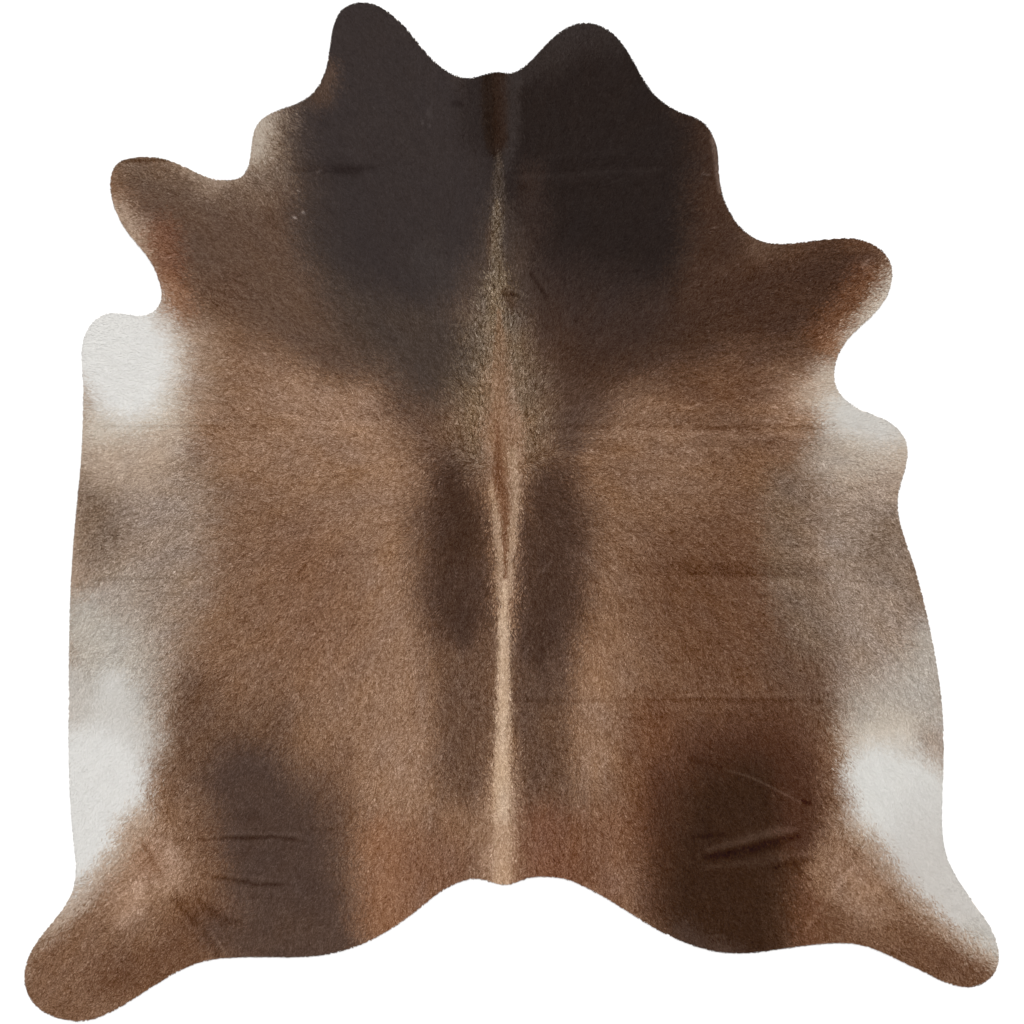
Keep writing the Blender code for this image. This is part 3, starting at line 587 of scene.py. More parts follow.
def smooth_step(t: np.ndarray) -> np.ndarray:
    """Returns t held to 0 and 1, eased at both ends by 3t^2 - 2t^3."""
    t = np.clip(t, 0.0, 1.0)
    return t * t * (3.0 - 2.0 * t)


def to_linear(srgb: np.ndarray) -> np.ndarray:
    """Returns sRGB numbers from 0 to 1 as linear ones, by the standard's curve."""
    srgb = np.clip(srgb, 0.0, 1.0)
    return np.where(srgb <= 0.04045, srgb / 12.92, ((srgb + 0.055) / 1.055) ** 2.4)


def new_piece(name: str, points: np.ndarray, triangles: np.ndarray) -> bpy.types.Object:
    """Makes an object of triangles at the origin, with its place in its mesh.

    Args:
        name: The piece's name.
        points: One row of x, y and z for each vertex, in metres.
        triangles: One row of three vertex numbers for each face, counter-clockwise from outside.

    Returns:
        The object, linked to the scene and shaded smooth.
    """
    mesh = bpy.data.meshes.new(name)
    mesh.vertices.add(len(points))
    mesh.vertices.foreach_set("co", points.astype(np.float32).ravel())
    mesh.loops.add(triangles.size)
    mesh.loops.foreach_set("vertex_index", triangles.astype(np.int32).ravel())
    mesh.polygons.add(len(triangles))
    mesh.polygons.foreach_set("loop_start", np.arange(0, triangles.size, 3, dtype=np.int32))
    mesh.update(calc_edges=True)
    mesh.validate()
    mesh.shade_smooth()
    piece = bpy.data.objects.new(name, mesh)
    bpy.context.scene.collection.objects.link(piece)
    return piece


def set_tones(piece: bpy.types.Object, colours: np.ndarray, grain: np.ndarray) -> None:
    """Writes the piece's coat attribute: tones in even steps of brightness, and grain as alpha.

    Args:
        piece: The piece.
        colours: Linear red, green and blue, one row for each vertex.
        grain: How far the coat differs from its tone, one value for each vertex.
    """
    layer = piece.data.color_attributes.new(name=COAT_TONE, type="FLOAT_COLOR", domain="POINT")
    rgba = np.column_stack([colours ** (1 / TONE_POWER), grain]).astype(np.float32)
    layer.data.foreach_set("color", rgba.ravel())


@dataclass
class Grid:
    """Even points over the hide's box, at which a value is worked out to be read between."""

    low: np.ndarray
    high: np.ndarray
    step: float

    def __post_init__(self) -> None:
        """Lays the points out, row by row from the low corner."""
        self.shape = tuple(np.ceil((self.high - self.low) / self.step).astype(int)[::-1] + 1)
        rows, columns = np.indices(self.shape)
        self.points = self.low + np.stack([columns, rows], axis=2).reshape(-1, 2) * self.step

    def read(self, values: np.ndarray, points: np.ndarray) -> np.ndarray:
        """Reads values at any points, each as the weighted mean of the four grid points round it.

        Args:
            values: One value, or one row of them, for each of the grid's points.
            points: Places in metres.

        Returns:
            One value, or one row of them, for each place.
        """
        at = (points - self.low) / self.step
        last = np.array(self.shape[::-1]) - 1
        at = np.clip(at, 0, last - SMALL)
        corner = at.astype(int)
        across, up = (at - corner).T
        if values.ndim > 1:
            across, up = across[:, None], up[:, None]
        first = corner[:, 1] * self.shape[1] + corner[:, 0]
        above = first + self.shape[1]
        lower = values[first] * (1 - across) + values[first + 1] * across
        upper = values[above] * (1 - across) + values[above + 1] * across
        return lower * (1 - up) + upper * up


@dataclass
class Footprint:
    """The hide's outline, finely drawn, in metres."""

    low: np.ndarray
    high: np.ndarray
    rim_step: float = 4 * MILLIMETRE
    rim_turn: float = 5.0  # most degrees that the edge turns from one point to the next
    near: float = 2.0  # how near the edge its inward direction is followed, in rim steps
    margin: float = 30 * MILLIMETRE  # how far past the box the grid goes
    reach_step: float = 5 * MILLIMETRE
    block: int = 20_000  # points worked out at a time

    def __post_init__(self) -> None:
        """Draws the edge in centimetres and sets its scale by the solid's box."""
        rows = [row for region in OUTLINE.values() for row in region]
        edge = np.concatenate([self.span(*pair) for pair in zip(rows, rows[1:] + rows[:1])])
        edge_low, edge_high = edge.min(axis=0), edge.max(axis=0)
        self.middle_cm = (edge_low + edge_high) / 2
        self.scale = (self.high[1] - self.low[1]) / (edge_high[1] - edge_low[1])
        self.rim = self.placed(edge)
        along = np.roll(self.rim, -1, axis=0) - np.roll(self.rim, 1, axis=0)
        inward = np.stack([along[:, 1], -along[:, 0]], axis=1)
        self.inward = inward / np.linalg.norm(inward, axis=1)[:, None]
        self.grid = Grid(self.low - self.margin, self.high + self.margin, self.reach_step)
        self.reach = self.reach_of(self.grid.points)

    def span(self, start: tuple, end: tuple) -> np.ndarray:
        """Draws the edge from one row of the outline up to the next.

        It is a cubic that leaves and arrives at the rows' headings. Its handles are the chord over
        3 cos^2 of half the angle off the chord, which makes a circle's arc of an even turn.

        Args:
            start: Place and heading of the first row.
            end: Place and heading of the next row.

        Returns:
            Points in centimetres, without the end's.
        """
        points = [np.array(row[:2]) for row in (start, end)]
        headings = [math.radians(row[2]) for row in (start, end)]
        chord = points[1] - points[0]
        length = math.hypot(*chord)
        handles = []
        for heading in headings:
            off_chord = math.remainder(heading - math.atan2(chord[1], chord[0]), math.tau)
            reach = length / (3 * math.cos(off_chord / 2) ** 2)
            handles.append(reach * np.array((math.cos(heading), math.sin(heading))))
        turn = abs(math.degrees(math.remainder(headings[1] - headings[0], math.tau)))
        steps = max(math.ceil(length * CENTIMETRE / self.rim_step), math.ceil(turn / self.rim_turn))
        t = np.arange(steps)[:, None] / steps
        return (
            (1 - t) ** 3 * points[0]
            + 3 * (1 - t) ** 2 * t * (points[0] + handles[0])
            + 3 * (1 - t) * t**2 * (points[1] - handles[1])
            + t**3 * points[1]
        )

    def placed(self, points_cm: np.ndarray) -> np.ndarray:
        """Returns points given in centimetres on the hide as metres in the frame."""
        return (np.asarray(points_cm, float) - self.middle_cm) * self.scale

    def on_hide(self, points: np.ndarray) -> np.ndarray:
        """Returns points given in metres in the frame as centimetres on the hide."""
        return points / self.scale + self.middle_cm

    def reach_of(self, points: np.ndarray) -> np.ndarray:
        """Works out how far inside the edge each point lies, less than nothing if outside.

        Far from the edge that is the distance to the nearest rim point. Near it, it is the distance
        along that rim point's inward direction.

        Args:
            points: Places in metres.

        Returns:
            The distances in metres.
        """
        found = []
        rim = self.rim.astype(np.float32)
        rim_square = (rim**2).sum(axis=1)
        for start in range(0, len(points), self.block):
            some = points[start : start + self.block].astype(np.float32)
            nearest = (rim_square - 2 * some @ rim.T).argmin(axis=1)
            gap = some - rim[nearest]
            distance = np.linalg.norm(gap, axis=1)
            square_on = (gap * self.inward[nearest]).sum(axis=1)
            close = distance < self.near * self.rim_step
            found.append(np.where(close, square_on, np.sign(square_on) * distance))
        return np.concatenate(found)

    def inside_by(self, points: np.ndarray) -> np.ndarray:
        """Returns how far inside the edge each point lies, in metres, read from the grid."""
        return self.grid.read(self.reach, points)

    def lattice(self, step: float) -> np.ndarray:
        """Lays points over the box, the corners of even triangles.

        Rows are the step times sqrt(3)/2 apart, and every other one is moved on by half a step.

        Args:
            step: From one point of a row to the next, in metres.

        Returns:
            The points in metres.
        """
        x = np.arange(self.low[0], self.high[0], step)
        y = np.arange(self.low[1], self.high[1], step * math.sqrt(3) / 2)
        points = np.stack(np.meshgrid(x, y), axis=2)
        points[1::2, :, 0] += step / 2
        return points.reshape(-1, 2)


@dataclass
class Fold:
    """A crease that the hide kept: a trough between two low swells."""

    height: float
    half_width: float
    line: np.ndarray

    @classmethod
    def through(
        cls, height: float, half_width: float, waypoints: np.ndarray, step: float
    ) -> "Fold":
        """Draws the trough's line on a Catmull-Rom curve through its waypoints.

        The curve's ends lean on the end waypoints mirrored past them.

        Args:
            height: The swells' height in metres.
            half_width: From the trough to the fold's foot, in metres.
            waypoints: Places in metres.
            step: The even step of the line's points, in metres.

        Returns:
            The fold.
        """
        before, after = 2 * waypoints[0] - waypoints[1], 2 * waypoints[-1] - waypoints[-2]
        p = np.concatenate([[before], waypoints, [after]])
        t = np.linspace(0, 1, CURVE_POINTS)[:, None]
        curve = np.concatenate(
            [
                p[i]
                + 0.5 * t * (p[i + 1] - p[i - 1])
                + t**2 * (p[i - 1] - 2.5 * p[i] + 2 * p[i + 1] - 0.5 * p[i + 2])
                + t**3 * 0.5 * (p[i + 2] - 3 * p[i + 1] + 3 * p[i] - p[i - 1])
                for i in range(1, len(p) - 2)
            ]
        )
        run = np.concatenate([[0], np.cumsum(np.linalg.norm(np.diff(curve, axis=0), axis=1))])
        at = np.linspace(0, run[-1], math.ceil(run[-1] / step) + 1)
        line = np.stack([np.interp(at, run, curve[:, k]) for k in (0, 1)], axis=1)
        return cls(height, half_width, line)

    def lift(self, points: np.ndarray) -> np.ndarray:
        """Works out how far the fold lifts each point.

        Across the fold it is 27/4 u^2 (1 - u^2)^2 of the height, with u the distance in half
        widths: nothing at the trough and the feet, all at the crests. Along it, it is 4t(1 - t).

        Args:
            points: Places in metres.

        Returns:
            How far each is lifted, in metres.
        """
        low = self.line.min(axis=0) - self.half_width
        high = self.line.max(axis=0) + self.half_width
        near = np.flatnonzero(((points > low) & (points < high)).all(axis=1))
        start, step = self.line[:-1], np.diff(self.line, axis=0)
        ahead = points[near, None] - start[None]
        share = np.clip((ahead * step).sum(axis=2) / (step**2).sum(axis=1), 0, 1)
        gap = np.linalg.norm(ahead - share[:, :, None] * step, axis=2)
        nearest = gap.argmin(axis=1)
        every = np.arange(len(near))
        u = np.minimum(gap[every, nearest] / self.half_width, 1)
        t = (nearest + share[every, nearest]) / len(step)
        lift = np.zeros(len(points))
        lift[near] = self.height * 27 / 4 * u**2 * (1 - u**2) ** 2 * 4 * t * (1 - t)
        return lift


@dataclass
class Relief:
    """How high the hide's underside lies off the floor, from its folds."""

    footprint: Footprint
    line_step: float = 30 * MILLIMETRE
    grid_step: float = 4 * MILLIMETRE

    def __post_init__(self) -> None:
        """Adds the folds up on a grid."""
        folds = [
            Fold.through(
                height * MILLIMETRE,
                half_width * CENTIMETRE,
                self.footprint.placed(points),
                self.line_step,
            )
            for height, half_width, *points in FOLDS.values()
        ]
        self.grid = Grid(self.footprint.low, self.footprint.high, self.grid_step)
        self.lift = sum(fold.lift(self.grid.points) for fold in folds)

    def at(self, points: np.ndarray) -> np.ndarray:
        """Returns the height of the underside at each point, in metres."""
        return self.grid.read(self.lift, points)


@dataclass
class HairWay:
    """The direction in which the hair lies."""

    footprint: Footprint
    grid_step: float = 15 * MILLIMETRE
    whorl_line: float = -2.0  # the spine's place across the hide, in centimetres
    nearness: float = 2.0  # centimetres within which one row of the table rules

    def __post_init__(self) -> None:
        """Blends the table's headings over a grid, each weighing 1 over its distance cubed."""
        rows = np.array([row for part in HAIR_WAY.values() for row in part], float)
        mirrored = rows * (-1, 1, -1) + (2 * self.whorl_line, 0, 180)
        rows = np.concatenate([rows, mirrored])
        self.grid = Grid(self.footprint.low, self.footprint.high, self.grid_step)
        gaps = self.footprint.on_hide(self.grid.points)[:, None] - rows[None, :, :2]
        weight = 1 / ((gaps**2).sum(axis=2) + self.nearness**2) ** 1.5
        heading = np.radians(rows[:, 2])
        self.way = weight @ np.stack([np.cos(heading), np.sin(heading)], axis=1)

    def at(self, points: np.ndarray) -> np.ndarray:
        """Returns the hair's unit direction at each point."""
        way = self.grid.read(self.way, points)
        return way / np.maximum(np.linalg.norm(way, axis=1), TINY)[:, None]


@dataclass
class Streaks:
    """Noise drawn out along the hair, as clumps and combed streaks are."""

    footprint: Footprint
    way: HairWay
    grain: float
    length: float
    seed: int

    def __post_init__(self) -> None:
        """Averages even noise up and down the hair from each grid point, and sets its spread."""
        self.grid = Grid(self.footprint.low, self.footprint.high, self.grain)
        noise = np.random.default_rng(self.seed).standard_normal(len(self.grid.points))
        steps = max(1, round(self.length / self.grain / 2))
        total = noise.copy()
        for side in (-1, 1):
            at = self.grid.points
            for _ in range(steps):
                at = at + side * self.grain * self.way.at(at)
                total += self.grid.read(noise, at)
        self.value = (total - total.mean()) / total.std()

    def at(self, points: np.ndarray) -> np.ndarray:
        """Returns the noise at each point, with a mean of 0 and a spread of about 1."""
        return self.grid.read(self.value, points)


@dataclass
class CoatPattern:
    """The tones of the coat, painted marking by marking."""

    ground: Tone = Tone.BROWN
    scatter: float = 0.9  # centimetres by which a tuft's tone comes from beside it, as a spread
    fine_scatter: float = 0.25  # the same for the fine markings

    def near(
        self, places: np.ndarray, path: list, reach: float
    ) -> tuple[np.ndarray, np.ndarray]:
        """Finds the places near a path and how far they lie from it, in half widths of it.

        The distance is the least one to a stretch of the path, over the path's half width there.

        Args:
            places: Places in centimetres on the hide.
            path: Points of the path, each with the half width there.
            reach: How many half widths out the places are wanted.

        Returns:
            The numbers of the places in the box round the path, and their distances.
        """
        rows = np.array(path, float)
        margin = rows[:, 2].max() * reach
        low, high = rows[:, :2].min(axis=0) - margin, rows[:, :2].max(axis=0) + margin
        chosen = np.flatnonzero(((places > low) & (places < high)).all(axis=1))
        found = np.full(len(chosen), np.inf)
        for start, end in zip(rows, rows[1:]):
            along = end[:2] - start[:2]
            ahead = places[chosen] - start[:2]
            t = np.clip(ahead @ along / (along @ along), 0, 1)
            gap = np.linalg.norm(ahead - t[:, None] * along, axis=1)
            found = np.minimum(found, gap / (start[2] + t * (end[2] - start[2])))
        return chosen, found

    def paint(self, tones: np.ndarray, places: np.ndarray, markings: dict) -> None:
        """Paints markings over the tones of places.

        A marking covers fully up to its half width less its softness, and eases to nothing at its
        half width plus its softness.

        Args:
            tones: Rows of red, green, blue and grain, which are changed in place.
            places: Places in centimetres on the hide.
            markings: Rows as in MARKINGS.
        """
        for tone, softness, cover, *path in markings.values():
            chosen, distance = self.near(places, path, 1 + softness)
            past = (distance - (1 - softness)) / (2 * softness)
            share = cover * (1 - smooth_step(past))
            tones[chosen] += share[:, None] * (np.array(tone.value, float) - tones[chosen])

    def at(self, places: np.ndarray, stray: np.ndarray | float = 0.0) -> np.ndarray:
        """Paints every marking over the ground tone, the broad ones first.

        Args:
            places: Places in centimetres on the hide.
            stray: How far, in scatters, each place's tone comes from beside it.

        Returns:
            Rows of sRGB red, green and blue and of grain, all over 255.
        """
        tones = np.tile(np.array(self.ground.value, float), (len(places), 1))
        self.paint(tones, places + self.scatter * stray, MARKINGS)
        self.paint(tones, places + self.fine_scatter * stray, FINE_MARKINGS)
        return tones / FULL_SRGB

    def stroked(self, places: np.ndarray) -> np.ndarray:
        """Works out how much lighter or darker the strokes make each place.

        A stroke adds its change times (1 - d^2)^2, with d the distance in half widths.

        Args:
            places: Places in centimetres on the hide.

        Returns:
            What is added to red, green and blue alike, over 255, as a column.
        """
        change = np.zeros(len(places))
        for step, *path in STROKES.values():
            chosen, distance = self.near(places, path, 1)
            change[chosen] += step * (1 - np.minimum(distance, 1) ** 2) ** 2
        return change[:, None] / FULL_SRGB


@dataclass
class Bench:
    """A new material, and the bench on which its nodes are set up and joined."""

    name: str
    roughness: float
    specular: float

    def __post_init__(self) -> None:
        """Makes the material with its shader's roughness and specular level."""
        self.material = bpy.data.materials.new(self.name)
        self.material.use_nodes = True
        self.tree = self.material.node_tree
        self.shader = self.tree.nodes["Principled BSDF"]
        self.feed(self.shader, {"Roughness": self.roughness, "Specular IOR Level": self.specular})

    def feed(self, node: bpy.types.Node, inputs: dict) -> None:
        """Sets inputs of a node.

        Args:
            node: The node.
            inputs: By the input's name or number, its value or the output that feeds it.
        """
        for key, source in inputs.items():
            if isinstance(source, Socket):
                self.tree.links.new(source, node.inputs[key])
            else:
                node.inputs[key].default_value = source

    def add(self, kind: str, inputs: dict) -> bpy.types.Node:
        """Adds a node.

        Args:
            kind: Its type, without the "ShaderNode" that all share.
            inputs: Its inputs, as for feed.

        Returns:
            The node.
        """
        node = self.tree.nodes.new("ShaderNode" + kind)
        self.feed(node, inputs)
        return node

    def noise(self, place: Socket, scale: float, detail: float = 2.0) -> Socket:
        """Returns noise from 0 to 1 over the places given."""
        noise = self.add("TexNoise", {"Vector": place, "Scale": scale, "Detail": detail})
        return noise.outputs["Fac"]

    def own_noise(self, scale: float, detail: float = 2.0) -> Socket:
        """Returns noise from 0 to 1 over the piece's own coordinates."""
        return self.noise(self.add("TexCoord", {}).outputs["Object"], scale, detail)

    def grained_tone(self, noise: Socket, low: float, contrast: float) -> None:
        """Colours the material with the tone attribute, varied by noise.

        What is added to red, green and blue is the grain in the attribute's alpha times a number
        that goes from -contrast to contrast as the noise goes from low to 1 - low.

        Args:
            noise: The noise.
            low: The noise at which the tone is darkest.
            contrast: The most that is added or taken away, in grains.
        """
        tone = self.add("Attribute", {})
        tone.attribute_name = COAT_TONE
        span = {"From Min": low, "From Max": 1 - low, "To Min": -contrast, "To Max": contrast}
        shade = self.add("MapRange", {"Value": noise, **span})
        change = self.add("Math", {0: shade.outputs["Result"], 1: tone.outputs["Alpha"]})
        change.operation = "MULTIPLY"
        varied = self.add("VectorMath", {0: tone.outputs["Color"], 1: change.outputs["Value"]})
        varied.operation = "ADD"
        linear = self.add("Gamma", {"Color": varied.outputs["Vector"], "Gamma": TONE_POWER})
        self.feed(self.shader, {"Base Color": linear.outputs["Color"]})

    def two_tones(self, amount: Socket, dark: tuple, pale: tuple) -> None:
        """Colours the material from dark to pale.

        Args:
            amount: What goes from 0 to 1.
            dark: Where the dark tone ends, and its colour.
            pale: Where the pale tone starts, and its colour.
        """
        ramp = self.add("ValToRGB", {"Fac": amount})
        for end, (position, colour) in zip(ramp.color_ramp.elements, (dark, pale)):
            end.position = position
            end.color = colour
        self.feed(self.shader, {"Base Color": ramp.outputs["Color"]})

    def bump(self, height: Socket, strength: float, depth: float) -> None:
        """Raises the surface's shading by a height, as strongly and as deeply as told."""
        bump = self.add("Bump", {"Height": height, "Strength": strength, "Distance": depth})
        self.feed(self.shader, {"Normal": bump.outputs["Normal"]})


@dataclass(frozen=True)
class CoatFinish:
    """Short, close hair: the tuft's own tone, fine strands along it and a low gloss."""

    roughness: float = 0.6
    specular: float = 0.05
    strands_across: float = 620.0
    strands_along: float = 900.0
    strand_low: float = 0.3  # the noise at a strand's darkest
    strand_contrast: float = 3.0  # in grains of the tone
    bump: float = 0.12
    bump_depth: float = 0.2 * MILLIMETRE

    def material(self, name: str) -> bpy.types.Material:
        """Builds the finish from the tone attribute and noise across each tuft's cell of the map.

        Args:
            name: The material's name.

        Returns:
            The material.
        """
        bench = Bench(name, self.roughness, self.specular)
        place = bench.add("UVMap", {})
        place.uv_map = STRAND_MAP
        scale = (self.strands_across, self.strands_along, 1.0)
        stretch = bench.add("Mapping", {"Vector": place.outputs["UV"], "Scale": scale})
        noise = bench.noise(stretch.outputs["Vector"], 1.0)
        bench.grained_tone(noise, self.strand_low, self.strand_contrast)
        bench.bump(noise, self.bump, self.bump_depth)
        return bench.material


@dataclass(frozen=True)
class SkinFinish:
    """The hair side of the skin between the tufts: the coat's tone darkened by painted shade, with
    fine dark pores.
    """

    roughness: float = 0.8
    specular: float = 0.1
    pores: float = 900.0
    pore_low: float = 0.35  # the noise at a pore's darkest
    depth: float = 1.0  # in grains of the tone

    def material(self, name: str) -> bpy.types.Material:
        """Builds the finish from the tone attribute and fine noise.

        Args:
            name: The material's name.

        Returns:
            The material.
        """
        bench = Bench(name, self.roughness, self.specular)
        bench.grained_tone(bench.own_noise(self.pores), self.pore_low, self.depth)
        return bench.material


@dataclass(frozen=True)
class SuedeFinish:
    """The flesh side and the cut edge: pale, napped suede with cloudy patches."""

    dark: tuple = (0.38, (0.44, 0.34, 0.25, 1.0))  # where the tone ends, and its colour
    pale: tuple = (0.62, (0.62, 0.52, 0.41, 1.0))
    roughness: float = 0.92
    specular: float = 0.15
    sheen: float = 0.15
    clouds: float = 5.0
    cloud_detail: float = 6.0
    nap: float = 420.0
    nap_detail: float = 3.0
    nap_share: float = 0.35  # of the tone, the rest being the clouds'
    bump: float = 0.5
    bump_depth: float = 0.3 * MILLIMETRE

    def material(self, name: str) -> bpy.types.Material:
        """Builds the finish: two tones mixed by cloudy noise and by fine nap, and a bump of nap.

        Args:
            name: The material's name.

        Returns:
            The material.
        """
        bench = Bench(name, self.roughness, self.specular)
        bench.feed(bench.shader, {"Sheen Weight": self.sheen})
        clouds = bench.own_noise(self.clouds, self.cloud_detail)
        nap = bench.own_noise(self.nap, self.nap_detail)
        both = bench.add("Mix", {"Factor": self.nap_share, "A": clouds, "B": nap})
        bench.two_tones(both.outputs["Result"], self.dark, self.pale)
        bench.bump(nap, self.bump, self.bump_depth)
        return bench.material


@dataclass(frozen=True)
class FloorFinish:
    """A plain pale floor, barely mottled."""

    dark: tuple = (0.0, (0.91, 0.91, 0.91, 1.0))
    pale: tuple = (1.0, (0.93, 0.93, 0.93, 1.0))
    roughness: float = 1.0
    specular: float = 0.0
    mottle: float = 2.0

    def material(self, name: str) -> bpy.types.Material:
        """Builds the finish: two near tones mixed by broad noise.

        Args:
            name: The material's name.

        Returns:
            The material.
        """
        bench = Bench(name, self.roughness, self.specular)
        bench.two_tones(bench.own_noise(self.mottle), self.dark, self.pale)
        return bench.material


@dataclass
class Skin:
    """The tanned skin: one sheet inside the outline, lifted by its folds."""

    footprint: Footprint
    relief: Relief
    pattern: CoatPattern
    thickness: float = 2.5 * MILLIMETRE
    overhang: float = 1.5 * MILLIMETRE  # hair past the cut edge
    bevel: float = 0.5 * MILLIMETRE
    step: float = 13 * MILLIMETRE
    rim_share: int = 2  # the cut edge takes one in so many points of the rim
    rim_room: float = 0.6  # least gap from the cut edge to the points within, in steps
    root_shade: float = 2.0  # painted shade: how much darker the skin between the tufts is than the hair, in grains of the tone
    darkest: float = 0.5  # least share of its tone that is left

    def flat_points(self) -> tuple[np.ndarray, np.ndarray]:
        """Lays out the sheet's points.

        Returns:
            The cut edge's points and the even lattice of points within it, in metres.
        """
        cut = (self.footprint.rim + self.overhang * self.footprint.inward)[:: self.rim_share]
        lattice = self.footprint.lattice(self.step)
        clear = self.overhang + self.rim_room * self.step
        return cut, lattice[self.footprint.inside_by(lattice) > clear]

    def build(self) -> bpy.types.Object:
        """Makes the sheet.

        The top and the underside are the same triangles, the skin's thickness apart, and rows of
        points round the cut edge join them: the top's bevelled edge, and the underside's.

        Returns:
            The skin, with its hair side in the first material slot and suede in the second.
        """
        cut, lattice = self.flat_points()
        count = len(cut)
        flat = np.concatenate([cut, lattice])
        loop = list(range(count))
        faces = delaunay_2d_cdt(flat.tolist(), [], [loop], INSIDE_ONLY, MERGE_WITHIN)[2]
        top_faces = np.array([tuple(face) for face in faces])
        inward = self.footprint.inward[:: self.rim_share]
        lift = self.relief.at(flat)
        edge_lift = lift[:count]

        top = np.column_stack([flat, lift + self.thickness])
        top[:count, :2] += self.bevel * inward
        bottom = np.column_stack([flat, lift])
        bottom[:count, :2] += self.bevel * inward
        side_top = np.column_stack([cut, edge_lift + self.thickness - self.bevel])
        side_bottom = np.column_stack([cut, edge_lift + self.bevel])
        points = np.concatenate([top, side_top, side_bottom, bottom])

        # Rings of the edge from the top down, as vertex numbers.
        ring = np.arange(count)
        rings = [ring, ring + len(top), ring + len(top) + count, ring + len(top) + 2 * count]
        walls = []
        for upper, lower in zip(rings, rings[1:]):
            ahead_up, ahead_low = np.roll(upper, -1), np.roll(lower, -1)
            walls.append(np.stack([upper, ahead_up, lower], axis=1))
            walls.append(np.stack([ahead_up, ahead_low, lower], axis=1))
        under = top_faces[:, ::-1] + len(top) + 2 * count
        skin = new_piece("skin", points, np.concatenate([top_faces, *walls, under]))
        self.dress(skin, points, len(top_faces))
        return skin

    def dress(self, skin: bpy.types.Object, points: np.ndarray, top_count: int) -> None:
        """Gives the skin the coat's tones, darkened by painted shade, and its two finishes.

        Args:
            skin: The skin.
            points: Its points in metres.
            top_count: How many of its first triangles are the hair side.
        """
        places = self.footprint.on_hide(points[:, :2])
        tones = self.pattern.at(places)
        tones[:, :3] += self.pattern.stroked(places)
        grain = tones[:, 3]
        # Painted shade between the tufts: the skin is darker than the hair over it.
        roots = tones[:, :3] - self.root_shade * grain[:, None]
        set_tones(skin, to_linear(np.maximum(roots, self.darkest * tones[:, :3])), grain)
        skin.data.materials.append(SkinFinish().material("skin between the hair"))
        skin.data.materials.append(SuedeFinish().material("suede"))
        slots = np.ones(len(skin.data.polygons), np.int32)
        slots[:top_count] = 0
        skin.data.polygons.foreach_set("material_index", slots)


class Area(Enum):
    """An area of the coat that is one piece: its bounds across and along the hide, in cm."""

    NECK = (-200, 200, 60, 200)
    LEFT_SHOULDER = (-200, -2, 22, 60)
    RIGHT_SHOULDER = (-2, 200, 22, 60)
    LEFT_BARREL = (-200, -2, -38, 22)
    RIGHT_BARREL = (-2, 200, -38, 22)
    LEFT_HAUNCH = (-200, -2, -200, -38)
    RIGHT_HAUNCH = (-2, 200, -200, -38)


